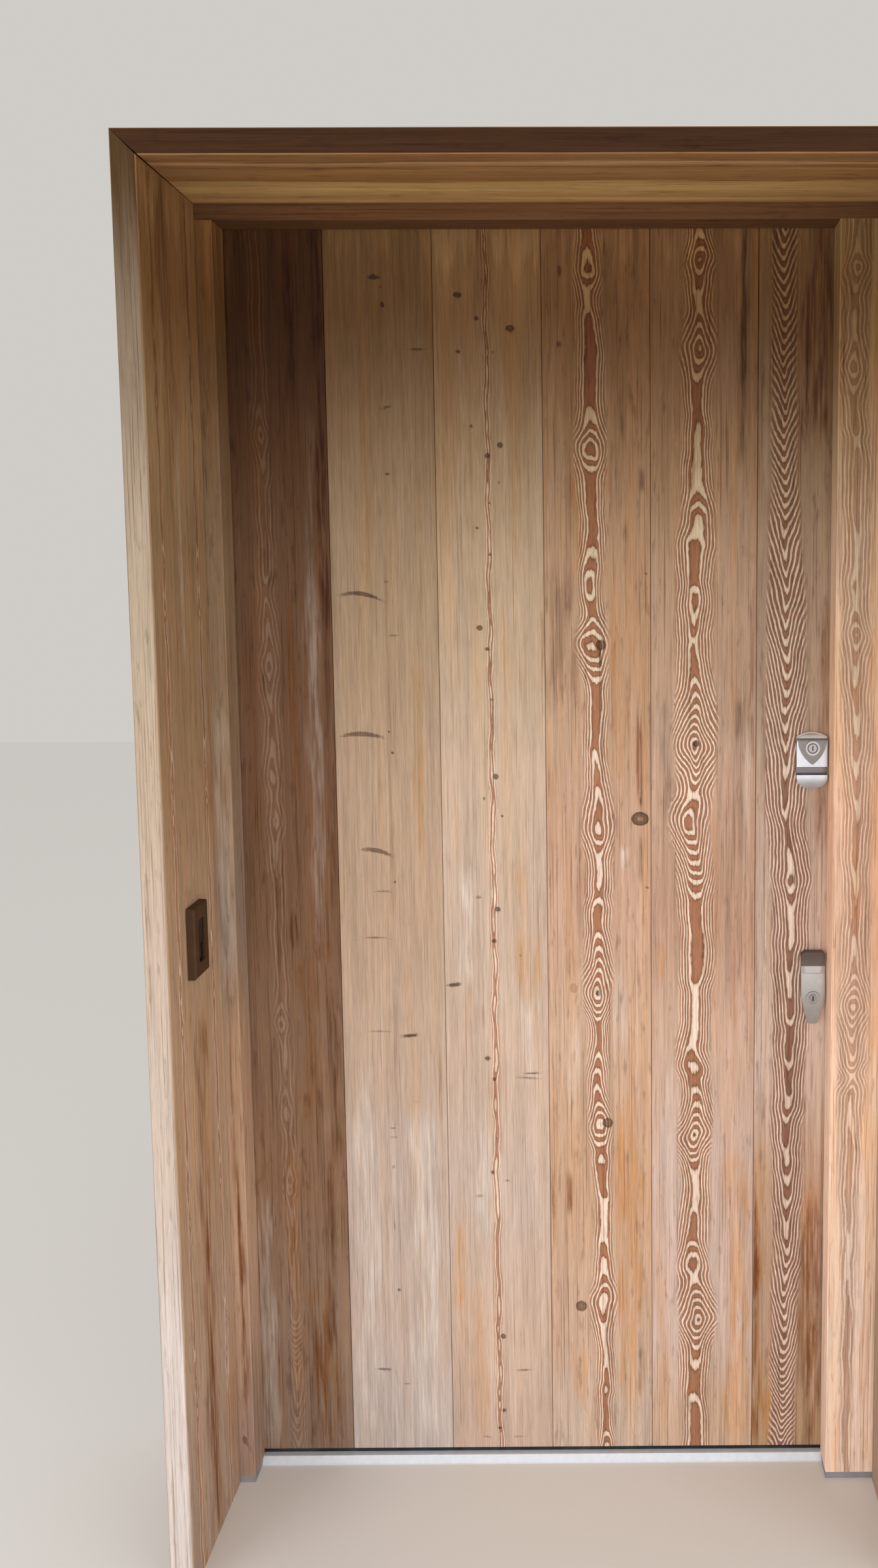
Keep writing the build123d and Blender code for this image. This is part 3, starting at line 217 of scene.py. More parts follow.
TINT_COLOURS = {
    Tint.AMBER: "#ffe6c2",
    Tint.UMBER: "#b08a6c",
    Tint.SLATE: "#9b9394",
    Tint.BLEACH: "#e9ddd2",
}
# Painted shade of the porch: it darkens the timber by this, from the head down.
PAINTED_PORCH_SHADE = pairs(
    (2100, 2060, 1980, 1910, 1850, 1780, 1710, 1650, 1590, 1530, 1460, 1400, 1320, 1200),
    "#998563 #8a7656 #846f51 #8b7a5f #998a74 #aca28d #beb7a6 #ccc8b9 #dad8cd #e1e0d6 #e8e8e0 #edece5"
    " #f4f6f3 #ffffff")
# From the pale early wood of a ring to its brown late wood.
FIGURE_TONES = pairs((0.0, 0.28, 0.42, 0.52, 0.64, 0.85, 1.0),
                     "#f0d9c6 #e0c6b0 #b7947a #7a5039 #8d5f46 #9f6b50 #a97355")
CHEVRON_TONES = pairs((0.0, 0.28, 0.42, 0.54, 0.66, 0.85, 1.0),
                      "#ead2c1 #d6bca9 #ad8c76 #775341 #80594a #8b6350 #946a56")
# From the heart of a knot to its rim.
KNOT_TONES = pairs((0.0, 0.18, 0.38, 0.7, 0.86, 1.0), "#b59172 #a98667 #6b4c34 #5a3c27 #311c0f #452b1a")
LAID: dict[str, str] = {"data_type": "RGBA", "blend_type": "MIX"}
TINTED: dict[str, str] = {"data_type": "RGBA", "blend_type": "MULTIPLY"}


@dataclass(frozen=True)
class Finish:
    """A procedural material. Each kind of finish works out what goes into its Principled shader."""

    name: str

    def sockets(self, tree: bpy.types.NodeTree) -> dict[str, Any]:
        """Adds the finish's own nodes.

        Args:
            tree: the material's tree.

        Returns:
            What goes into the inputs of the shader, by name.
        """
        raise NotImplementedError

    def material(self) -> bpy.types.Material:
        """Builds the node material.

        Returns:
            The new material.
        """
        material = bpy.data.materials.new(self.name)
        material.use_nodes = True
        tree = material.node_tree
        tree.nodes.clear()
        shader = add(tree, "BsdfPrincipled", self.sockets(tree))
        add(tree, "OutputMaterial", {"Surface": shader.outputs["BSDF"]})
        return material


@dataclass(frozen=True)
class Timber(Finish):
    """Planed European larch, left outside without a coat for some years.

    The eye sees long soft streaks along the grain and a dull surface with raised fibres. Near the top a
    painted shade, standing for the shadow of a porch, darkens the colour.
    """

    tones: Stops
    grain: Grain = Grain.UPRIGHT
    seam: float = 0.65
    smudge: float = 0.4
    warmth: float = 0.55
    seed: float = 0.0
    figured: bool = False
    porch_shade_painted: bool = True
    roughness: float = 0.66
    bands: Stops = ()
    front: Stops = ()
    back: Stops = ()
    lines: Stops = FIGURE_TONES

    # Width across the grain and length along it, in mm, shift, and how many finer noises it holds.
    PATTERNS = {
        "drift": (46.0, 900.0, 3.1, 2.0),
        "streak": (10.0, 380.0, 17.3, 2.0),
        "vein": (3.4, 180.0, 23.9, 3.0),
        "fibre": (1.5, 40.0, 29.9, 3.0),  # real fibres are a tenth of this, drawn coarser to show
        "hue": (21.0, 500.0, 41.7, 2.0),
        "wobble": (3.0, 16.0, 53.0, 1.0),
        "torn": (5.5, 90.0, 67.0, 3.0),
        "seam": (2.3, 210.0, 55.3, 3.0),
        "smudge": (8.0, 48.0, 58.46, 3.0),
    }
    SHIFT_WAY = (1.0, 0.37, 0.71)
    GAIN = {"drift": 0.30, "streak": 0.42, "vein": 0.50, "fibre": 0.60}
    WANDER = 170.0
    WARM_SPAN = (0.5, 0.72)
    GREY_SPAN = (0.5, 0.3)
    GREYING = "#e4e0da"
    DIRT = (("seam", 0.56, 0.70, "#a98a72"), ("smudge", 0.58, 0.74, "#93806f"))
    TORN_SPAN = (0.36, 0.62)
    TORN_AMOUNT = (0.1, 1.5)
    RING_WOBBLE = 0.34
    RAISED = -0.6
    KNOT_RAGGED = 2.4
    KNOT_EDGE = (1.0, -1.2)
    KNOT_RIM = (-12.0, 0.5)
    BAND_RAGGED = {"streak": 0.12, "vein": 0.06}
    FRONT_Y = STREET_Y + 1.0
    BACK_Y = ROOM_Y - 0.5
    NOISE_ROUGHNESS = 0.55
    FIBRE_ROUGHNESS = 0.25
    BUMP = 0.35
    BUMP_DEPTH = 0.4
    SHINE = 0.12

    def pattern(self, tree: bpy.types.NodeTree, place: Any, name: str) -> Any:
        """Adds one of the noises that run along the grain.

        Args:
            tree: the material's tree.
            place: the socket with Object coordinates.
            name: its name in PATTERNS.

        Returns:
            The socket with its value, from 0 to 1.
        """
        wide, tall, shift, detail = self.PATTERNS[name]
        scale = [1 / (wide * MM)] * 3
        scale[self.grain.value] = 1 / (tall * MM)
        # The shift keeps any two noises and members from looking alike.
        location = [(self.seed + shift) * way for way in self.SHIFT_WAY]
        moved = add(tree, "Mapping", {"Vector": place, "Location": location, "Scale": scale})
        return add(tree, "TexNoise", {"Vector": moved.outputs[0], "Scale": 1.0, "Detail": detail,
                                      "Roughness": self.NOISE_ROUGHNESS}).outputs["Fac"]

    def wood(self, tree: bpy.types.NodeTree, height: Any, hue: Any) -> Any:
        """Draws the plain timber: its tones over the height, with warmer and greyer stretches.

        Args:
            tree: the material's tree.
            height: the socket with the height as a share of the door's.
            hue: the socket with the noise that warms or greys.

        Returns:
            The socket with the colour.
        """
        colour = add(tree, "ValToRGB", {0: height}, shares(self.tones), interpolation="EASE").outputs[0]
        for (low, high), code in ((self.WARM_SPAN, TINT_COLOURS[Tint.AMBER]),
                                  (self.GREY_SPAN, self.GREYING)):
            amount = add(tree, "MapRange", {"Value": hue, "From Min": low, "From Max": high,
                                            "To Max": self.warmth}).outputs[0]
            colour = add(tree, "Mix", {0: amount, 6: colour, 7: code}, **TINTED).outputs[2]
        return colour

    def stained(self, tree: bpy.types.NodeTree, place: Any, colour: Any, read: dict[str, Any]) -> Any:
        """Draws the stains, which streaks along the grain let through more or less.

        Args:
            tree: the material's tree.
            place: the socket with Object coordinates.
            colour: the socket with the plain timber's colour.
            read: the sockets with the mesh attributes, by name.

        Returns:
            The socket with the colour.
        """
        torn = self.pattern(tree, place, "torn")
        low, high = self.TORN_SPAN
        least, most = self.TORN_AMOUNT
        patchy = add(tree, "MapRange", {"Value": torn, "From Min": low, "From Max": high, "To Min": least,
                                        "To Max": most}).outputs[0]
        for tint, code in TINT_COLOURS.items():
            amount = add(tree, "Math", {0: read[tint.value], 1: patchy}, operation="MULTIPLY",
                         use_clamp=True).outputs[0]
            way = LAID if tint is Tint.BLEACH else TINTED
            colour = add(tree, "Mix", {0: amount, 6: colour, 7: code}, **way).outputs[2]
        return colour

    def figure(self, tree: bpy.types.NodeTree, place: Any, colour: Any) -> tuple[Any, Any]:
        """Draws the stains, rings and knots that the mesh attributes hold.

        Args:
            tree: the material's tree.
            place: the socket with Object coordinates.
            colour: the socket with the plain timber's colour.

        Returns:
            The socket with the colour and the one with the height of the raised rings.
        """
        read = {name: add(tree, "Attribute", attribute_name=name).outputs["Fac"]
                for name in ("ring", "figure", "spot", "depth", *(tint.value for tint in Tint))}
        colour = self.stained(tree, place, colour, read)
        wobble = self.pattern(tree, place, "wobble")
        ring = weighted(tree, read["ring"], (wobble, self.RING_WOBBLE))
        turned = add(tree, "Math", {0: ring, 1: 2 * math.pi}, operation="MULTIPLY").outputs[0]
        wave = add(tree, "Math", {0: turned}, operation="SINE").outputs[0]
        level = add(tree, "MapRange", {"Value": wave, "From Min": -1.0, "From Max": 1.0}).outputs[0]
        lines = add(tree, "ValToRGB", {0: level}, self.lines).outputs[0]
        colour = add(tree, "Mix", {0: read["figure"], 6: colour, 7: lines}, **LAID).outputs[2]
        raised = add(tree, "Math", {0: level, 1: read["figure"]}, operation="MULTIPLY").outputs[0]
        # How far a place lies outside the nearest knot, in mm, with a ragged edge.
        outside = weighted(tree, read["spot"], (wobble, self.KNOT_RAGGED))
        clear, full = self.KNOT_EDGE
        inside = add(tree, "MapRange", {"Value": outside, "From Min": clear, "From Max": full},
                     interpolation_type="SMOOTHSTEP").outputs[0]
        knot = add(tree, "Math", {0: inside, 1: read["depth"]}, operation="MULTIPLY").outputs[0]
        heart, edge = self.KNOT_RIM
        rim = add(tree, "MapRange", {"Value": outside, "From Min": heart, "From Max": edge}).outputs[0]
        brown = add(tree, "ValToRGB", {0: rim}, KNOT_TONES).outputs[0]
        return add(tree, "Mix", {0: knot, 6: colour, 7: brown}, **LAID).outputs[2], raised

    def faces(self, tree: bpy.types.NodeTree, colour: Any, height: Any, y: Any,
              seen: dict[str, Any]) -> Any:
        """Draws what only some faces show: bands in depth, and other tones on the street side or the inside.

        Args:
            tree: the material's tree.
            colour: the socket with the colour so far.
            height: the socket with the height as a share of the door's.
            y: the socket with the place's y.
            seen: the sockets with the noises, by name.

        Returns:
            The socket with the colour.
        """
        # On the head lining the bands are partly painted light thrown up from below.
        if self.bands:
            depth = add(tree, "MapRange", {"Value": y, "From Min": STREET_Y * MM,
                                           "From Max": POST_Y * MM}).outputs[0]
            ragged = ((seen[name], amount) for name, amount in self.BAND_RAGGED.items())
            depth = weighted(tree, depth, *ragged)
            bands = add(tree, "ValToRGB", {0: depth}, shares(self.bands, STREET_Y, POST_Y)).outputs[0]
            colour = add(tree, "Mix", {0: 1.0, 6: colour, 7: bands}, **TINTED).outputs[2]
        # The street-side tones of the linings and the head carry painted porch shade at the top.
        for stops, level, test in ((self.front, self.FRONT_Y, "LESS_THAN"),
                                   (self.back, self.BACK_Y, "GREATER_THAN")):
            if stops:
                there = add(tree, "Math", {0: y, 1: level * MM}, operation=test).outputs[0]
                own = add(tree, "ValToRGB", {0: height}, shares(stops), interpolation="EASE").outputs[0]
                colour = add(tree, "Mix", {0: there, 6: colour, 7: own}, **LAID).outputs[2]
        return colour

    def sockets(self, tree: bpy.types.NodeTree) -> dict[str, Any]:
        """Adds the timber's nodes, from the plain wood up to its dirt.

        Args:
            tree: the material's tree.

        Returns:
            What goes into the inputs of the shader, by name.
        """
        place = add(tree, "TexCoord").outputs["Object"]
        split = add(tree, "SeparateXYZ", {0: place}).outputs
        seen = {name: self.pattern(tree, place, name) for name in ("drift", "streak", "vein", "fibre")}
        height = add(tree, "Math", {0: split[2], 1: 1 / (HEIGHT_MM * MM)}, operation="MULTIPLY").outputs[0]
        wander = self.WANDER / HEIGHT_MM
        height = weighted(tree, height, (seen["streak"], wander), (seen["drift"], wander))
        colour = self.wood(tree, height, self.pattern(tree, place, "hue"))
        relief = seen["fibre"]
        if self.figured:
            colour, raised = self.figure(tree, place, colour)
            relief = weighted(tree, relief, (raised, self.RAISED))
        # Painted shade: the porch's shadow darkens the colour from the head down.
        if self.porch_shade_painted:
            shade = add(tree, "ValToRGB", {0: height}, shares(PAINTED_PORCH_SHADE), interpolation="EASE").outputs[0]
            colour = add(tree, "Mix", {0: 1.0, 6: colour, 7: shade}, **TINTED).outputs[2]
        colour = self.faces(tree, colour, height, split[1], seen)
        for most, (name, low, high, code) in zip((self.seam, self.smudge), self.DIRT):
            found = self.pattern(tree, place, name)
            amount = add(tree, "MapRange", {"Value": found, "From Min": low, "From Max": high,
                                            "To Max": most}).outputs[0]
            colour = add(tree, "Mix", {0: amount, 6: colour, 7: code}, **TINTED).outputs[2]
        gain = weighted(tree, 1.0, *((seen[name], amount) for name, amount in self.GAIN.items()))
        colour = add(tree, "VectorMath", {0: colour, "Scale": gain}, operation="SCALE").outputs[0]
        bump = add(tree, "Bump", {"Height": relief, "Strength": self.BUMP,
                                  "Distance": self.BUMP_DEPTH * MM}).outputs[0]
        rough = weighted(tree, self.roughness, (seen["fibre"], self.FIBRE_ROUGHNESS))
        return {"Base Color": colour, "Roughness": rough, "Specular IOR Level": self.SHINE, "Normal": bump}


# Figure of the boards


def ripple(waves: tuple[Place, ...], u: np.ndarray, v: np.ndarray) -> np.ndarray:
    """Adds up waves, each given by its height and its two lengths in mm.

    Args:
        waves: for each wave, its height, its length along u and its length along v.
        u: places along the first way, in mm.
        v: places along the second, in mm.

    Returns:
        The waves' sum at each place.
    """
    return sum(height * np.sin(u / first + v / second) for height, first, second in waves)


@dataclass(frozen=True)
class Column:
    """The flat-sawn figure in the middle of a board: rings that meet in arches, flames and ovals.

    Ring counts end in .25 in the middle of a brown flame and in .75 in the middle of a pale one. They fall
    downwards where the arches stand on their legs, and rise where they hang.
    """

    line: Run
    rings: Run
    core: Run
    pitch: Run
    reach: Run
    strength: float = 0.95
    fade: float = 9.0
    bow: float = 0.42
    widen: float = 1.3

    SOFT = {"line": 9.0, "rings": 4.0, "core": 6.0, "pitch": 10.0, "reach": 14.0}
    PAST_END = 60.0
    SWAY = ((1.5, 23.0, 31.0), (0.6, 9.1, 13.0))
    LIFT = ((6.0, 12.0, 47.0), (1.2, 5.0, -21.0))
    LIFT_FROM = 10.0
    CORE_LEAST = 0.5
    FADE_POWER = 0.8

    def along(self, name: str, z: np.ndarray) -> np.ndarray:
        """Reads one of the runs at these heights, with its corners rounded.

        Args:
            name: the run's name.
            z: heights in mm.

        Returns:
            The values.
        """
        fine = np.arange(-self.PAST_END, HEIGHT_MM + self.PAST_END, 1.0)
        low_first = sorted(getattr(self, name))
        value = np.interp(fine, [p[0] for p in low_first], [p[1] for p in low_first])
        soft = self.SOFT[name]
        near = np.arange(-3 * soft, 3 * soft + 1)
        weight = np.exp(-0.5 * (near / soft) ** 2)
        value = np.convolve(np.pad(value, len(near) // 2, "edge"), weight / weight.sum(), "valid")
        return np.interp(z, fine, value[:len(fine)])

    def fields(self, x: np.ndarray, z: np.ndarray) -> dict[str, np.ndarray]:
        """Works out the ring count and how strongly the figure shows.

        Args:
            x: places across the board, in mm.
            z: heights, in mm.

        Returns:
            The attributes "ring" and "figure".
        """
        off = np.abs(x - self.along("line", z) + ripple(self.SWAY, z, x))
        lift = ripple(self.LIFT, x, z) * np.minimum(off / self.LIFT_FROM, 1.0)
        core = self.widen * np.maximum(self.along("core", z), self.CORE_LEAST)
        inner = self.bow * np.minimum(off / core, 1.0) ** 2
        outer = np.maximum(off - core, 0.0) / (self.widen * self.along("pitch", z))
        shown = np.clip((self.along("reach", z) + self.fade / 2 - off) / self.fade, 0.0, 1.0)
        return {
            "ring": self.along("rings", z + lift) + inner + outer,
            "figure": self.strength * shown ** self.FADE_POWER,
        }


@dataclass(frozen=True)
class Mark:
    """A knot, pin knot or tear in the surface: an ellipse with soft edges, in mm and degrees."""

    x: float
    z: float
    half_w: float
    half_h: float
    tilt: float = 0.0
    depth: float = 0.8
    arch: float = 0.0

    def distance(self, x: np.ndarray, z: np.ndarray) -> np.ndarray:
        """Works out about how far each place lies outside the ellipse.

        Args:
            x: places across the board, in mm.
            z: heights, in mm.

        Returns:
            The distances in mm, below 0 inside it.
        """
        turn = math.radians(self.tilt)
        u = (x - self.x) * math.cos(turn) + (z - self.z) * math.sin(turn)
        v = (z - self.z) * math.cos(turn) - (x - self.x) * math.sin(turn) + self.arch * (u / self.half_w) ** 2
        return (np.hypot(u / self.half_w, v / self.half_h) - 1) * min(self.half_w, self.half_h)


@dataclass(frozen=True)
class Stain:
    """A long patch of old oil, dirt or bleached wood, in mm, with an amount from 0 to 1."""

    tint: Tint
    x: float
    half_w: float
    top: float
    bottom: float
    amount: float

    # Shares of the half width, each with the length in mm of the wave that it follows.
    SWELL = (0.25, 31.0)
    STRAY = (0.18, 67.0)
    EDGE = 2.0
    EDGE_SHARE = 0.3
    END_MOST = 70.0
    END_SHARE = 0.4
    END_LEAST = 4.0

    def weight(self, x: np.ndarray, z: np.ndarray) -> np.ndarray:
        """Works out the patch's strength, with soft edges that wander.

        Args:
            x: places across the board, in mm.
            z: heights, in mm.

        Returns:
            The strengths.
        """
        share, length = self.SWELL
        drawn = self.half_w + share * self.half_w * np.sin(z / length + self.x)
        share, length = self.STRAY
        middle = self.x + share * self.half_w * np.sin(z / length + 2 * self.x)
        edge = self.EDGE + self.EDGE_SHARE * self.half_w
        wide = np.clip((drawn + self.EDGE - np.abs(x - middle)) / edge, 0, 1)
        end = min(self.END_MOST, self.END_SHARE * (self.top - self.bottom) + self.END_LEAST)
        tall = np.clip((self.top - z) / end + 0.5, 0, 1) * np.clip((z - self.bottom) / end + 0.5, 0, 1)
        return self.amount * wide ** 2 * (3 - 2 * wide) * tall ** 2 * (3 - 2 * tall)


def marks(*rows: tuple[float, ...]) -> tuple[Mark, ...]:
    """Makes marks from rows of x, z, half width, half height, and where given tilt, depth and arch."""
    return tuple(Mark(*row) for row in rows)


def stains(**listed: tuple[tuple[float, ...], ...]) -> tuple[Stain, ...]:
    """Makes stains from rows of x, half width, top, bottom and amount, listed by tint."""
    return tuple(Stain(Tint(tint), *row) for tint, rows in listed.items() for row in rows)


def steps(count: float, by: float, *heights: float) -> Run:
    """Pairs heights in mm with ring counts that change by the same amount from one to the next."""
    return tuple((height, count + by * index) for index, height in enumerate(heights))


@dataclass(frozen=True)
class FiguredFace:
    """A member whose face carries its own figure: the node's mesh, with that face cut fine enough for it."""

    node: str
    body: str
    slot: str
    timber: Timber
    columns: tuple[Column, ...] = ()
    marks: tuple[Mark, ...] = ()
    stains: tuple[Stain, ...] = ()
    facing: Place = (0.0, -1.0, 0.0)
    across: int = 0
    snug: float = 0.0

    STEP_Z = 4.0
    STEP_WIDE = 5.0
    STEP_FINE = 2.2
    FINE_HALF = 34.0
    LEAST_STRIP = 1.0
    MERGED = 0.001
    FLAT_DEGREES = 0.5
    IN_PLANE = 0.05
    NEAR_PLANE = 0.5
    SQUARE = 0.999
    FAR = 12.0
    MARK_DEPTH = 0.95

    def level(self) -> float:
        """Gives how far out the face lies along its facing, in mm."""
        corners = [Vector([side(self.node, end, axis) for axis in range(3)]) for end in (0, 1)]
        return max(corner.dot(Vector(self.facing)) for corner in corners)

    def cuts(self, low: Vector, high: Vector) -> list[tuple[int, float]]:
        """Lists where the face is cut.

        Args:
            low: the node's lowest corner.
            high: its highest corner.

        Returns:
            Pairs of an axis and a place in mm, the level cuts first.
        """
        last = high.z / MM - self.LEAST_STRIP
        found = [(2, z) for z in np.arange(low.z / MM + self.STEP_Z, last, self.STEP_Z)]
        place, end = low[self.across] / MM, high[self.across] / MM
        middles = [float(np.mean([p[1] for p in column.line])) for column in self.columns]
        while place < end - self.LEAST_STRIP:
            fine = any(abs(place - middle) < self.FINE_HALF for middle in middles)
            place += self.STEP_FINE if fine else self.STEP_WIDE
            found.append((self.across, place))
        return found

    def cut(self, piece: bpy.types.Object) -> None:
        """Merges the mesh, makes the piece snug and cuts its figured face.

        Args:
            piece: a copy of the node.
        """
        low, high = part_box(self.node)
        only(piece)
        bpy.ops.object.mode_set(mode="EDIT")
        bpy.ops.mesh.select_mode(type="FACE")
        bpy.ops.mesh.select_all(action="SELECT")
        bpy.ops.mesh.customdata_custom_splitnormals_clear()
        bpy.ops.mesh.remove_doubles(threshold=self.MERGED * MM)
        bpy.ops.mesh.dissolve_limited(angle_limit=math.radians(self.FLAT_DEGREES))
        if self.snug:
            wider = 1 + 2 * self.snug * MM / (high.x - low.x)
            bpy.ops.transform.resize(value=(wider, 1, 1), center_override=((low + high) / 2)[:])
        bpy.ops.object.mode_set(mode="OBJECT")
        way, level = Vector(self.facing), self.level() * MM
        for face in piece.data.polygons:
            in_plane = abs(face.center.dot(way) - level) < self.IN_PLANE * MM
            face.select = in_plane and face.normal.dot(way) > self.SQUARE
        bpy.ops.object.mode_set(mode="EDIT")
        bpy.ops.mesh.hide(unselected=True)
        for axis, place in self.cuts(low, high):
            normal, point = [0.0, 0.0, 0.0], [0.0, 0.0, 0.0]
            normal[axis], point[axis] = 1.0, place * MM
            bpy.ops.mesh.select_all(action="SELECT")
            bpy.ops.mesh.bisect(plane_co=point, plane_no=normal)
        bpy.ops.mesh.reveal()
        bpy.ops.object.mode_set(mode="OBJECT")
        bpy.ops.object.shade_smooth_by_angle(angle=SMOOTH_ANGLE)

    def build(self) -> bpy.types.Object:
        """Makes the piece, gives it its figure and material, and puts it in the node's place.

        Returns:
            The finished object.
        """
        piece = bpy.data.objects.new(self.node + "_figured", frame["nodes"][self.node].data.copy())
        bpy.context.scene.collection.objects.link(piece)
        self.cut(piece)
        self.write(piece.data)
        piece.data.materials.clear()
        piece.data.materials.append(self.timber.material())
        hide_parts(self.node)
        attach(piece, self.body)
        log.info("%s: %d faces", piece.name, len(piece.data.polygons))
        return piece

    def values(self, x: np.ndarray, z: np.ndarray) -> dict[str, np.ndarray]:
        """Works out the figure, the marks and the stains.

        Args:
            x: places across the board, in mm.
            z: heights, in mm.

        Returns:
            The attributes by name.
        """
        found = {"ring": np.zeros_like(x), "figure": np.zeros_like(x)}
        for column in self.columns:
            drawn = column.fields(x, z)
            stronger = drawn["figure"] > found["figure"]
            for name, value in drawn.items():
                found[name] = np.where(stronger, value, found[name])
        found["spot"], found["depth"] = np.full_like(x, self.FAR), np.zeros_like(x)
        for mark in self.marks:
            gap = np.minimum(mark.distance(x, z), self.FAR)
            nearer = gap < found["spot"]
            found["spot"] = np.where(nearer, gap, found["spot"])
            found["depth"] = np.where(nearer, self.MARK_DEPTH * mark.depth, found["depth"])
        for tint in Tint:
            bare = np.ones_like(x)
            for stain in self.stains:
                if stain.tint is tint:
                    bare = bare * (1 - stain.weight(x, z))
            found[tint.value] = 1 - bare
        return found

    def write(self, mesh: bpy.types.Mesh) -> None:
        """Stores the figure, the marks and the stains as attributes that end where the face does.

        Args:
            mesh: the piece's mesh, cut.
        """
        co = np.empty(len(mesh.vertices) * 3, np.float32)
        mesh.vertices.foreach_get("co", co)
        x, z = co[self.across::3].astype(float) / MM, co[2::3].astype(float) / MM
        on_face = np.abs(co.reshape(-1, 3) @ np.array(self.facing) / MM - self.level()) < self.NEAR_PLANE
        for name, value in self.values(x, z).items():
            kept = value if name in ("ring", "spot") else value * on_face
            mesh.attributes.new(name, "FLOAT", "POINT").data.foreach_set("value", kept.astype(np.float32))


# What each board shows, with heights and places in mm.
BOARD_4_FIGURE = Column(
    line=(
        (2110, 92), (2043, 92), (1968, 95), (1850, 97), (1764, 94), (1700, 97), (1600, 98), (1530, 93),
        (1480, 97), (1430, 96), (1380, 103), (1260, 101), (1126, 106), (1050, 105), (975, 104), (843, 102),
        (770, 103), (680, 101), (613, 103), (548, 108), (480, 109), (385, 111), (290, 108), (240, 110),
        (123, 113), (18, 111),
    ),
    rings=(
        (2110, 1.25), (2085, 1.2), (2072, 0.75), (2060, 0.6), (2043, 0.25), (2032, 0.7), (2024, 1.25),
        (2010, 1.75), (1980, 1.7), (1966, 1.25), (1835, 1.2), (1820, 0.75), (1800, 0.45),
        *steps(0.25, -0.5, 1794, 1787, 1780, 1774, 1766), *steps(-1.75, 0.5, 1750, 1744, 1737, 1727),
        (1714, 0.2), (1606, 0.25), (1592, -0.25), (1578, -0.6), (1568, -0.75), (1556, -1.25), (1546, -1.6),
        (1530, -1.75), (1515, -1.3), (1505, -0.8), *steps(-0.75, -0.5, 1488, 1480, 1470, 1460, 1450, 1436),
        *steps(-2.75, 0.5, 1422, 1412, 1404, 1397, 1389, 1379), (1366, 0.2), (1268, 0.25), (1260, -0.2),
        (1240, -0.5), (1222, -0.75), (1206, -0.8), (1195, -1.25), (1178, -1.5), (1160, -1.75),
        (1144, -1.85), (1138, -2.2), *steps(-2.25, 0.5, 1120, 1112, 1104, 1094), (1080, -0.3), (1026, -0.2),
        (1014, 0.25), (1003, -0.25), (993, -0.7), (952, -0.85),
        *steps(-1.25, -0.5, 944, 933, 922, 912, 902, 893, 884, 876, 868, 861, 854, 843),
        *steps(-6.25, 0.5, 833, 827, 821, 815, 810, 804, 798), (790, -2.8), (746, -2.75), (733, -3.25),
        (722, -3.7), (715, -3.8), (706, -4.25), (694, -4.7), (686, -4.8), (677, -5.25), (664, -5.7),
        (656, -5.8), *steps(-6.25, -0.5, 646, 638, 631, 625, 619), (611, -8.6),
        *steps(-8.25, 0.5, 603, 597, 591, 584, 576), (568, -5.8), (560, -5.85), (548, -6.3), (536, -5.85),
        (528, -5.75), (484, -5.75), (474, -5.3), (404, -5.25), (390, -5.7), (374, -5.8), (364, -6.25),
        (341, -6.3), (332, -6.75), (326, -6.8), (318, -7.25), (311, -7.75), (302, -8.2), (290, -8.5),
        (276, -8.2), (262, -7.95), (254, -7.7), (246, -7.3), (174, -7.25), (158, -7.7), (138, -7.8),
        (123, -8.3), (110, -7.8), *steps(-7.75, -0.5, 54, 42, 32, 22),
    ),
    core=(
        (2110, 8), (2043, 8), (1990, 5), (1930, 9), (1850, 8), (1764, 9), (1700, 8), (1620, 7), (1570, 8),
        (1530, 6), (1490, 7), (1435, 12), (1385, 8), (1340, 8), (1270, 5), (1200, 5), (1126, 6), (1050, 5),
        (975, 7), (930, 6), (843, 4), (800, 5), (770, 4), (700, 5), (613, 6), (548, 8), (500, 7), (430, 6),
        (290, 6), (210, 4), (123, 4), (18, 5),
    ),
    pitch=(
        (2110, 3.3), (2043, 4.0), (1960, 3.3), (1840, 3.3), (1764, 4.5), (1680, 3.3), (1500, 3.3),
        (1435, 5.0), (1360, 3.2), (1200, 3.6), (1126, 5.0), (1050, 3.2), (900, 3.6), (843, 4.3), (790, 3.0),
        (660, 3.4), (613, 4.5), (560, 3.2), (360, 3.6), (290, 5.0), (220, 3.2), (18, 3.0),
    ),
    reach=(
        (2110, 18), (2043, 20), (1930, 21), (1764, 25), (1650, 22), (1530, 17), (1435, 25), (1340, 17),
        (1200, 21), (1126, 27), (1050, 21), (900, 23), (843, 23), (770, 17), (700, 15), (613, 19),
        (548, 15), (450, 13), (350, 17), (290, 23), (200, 15), (18, 13),
    ),
)

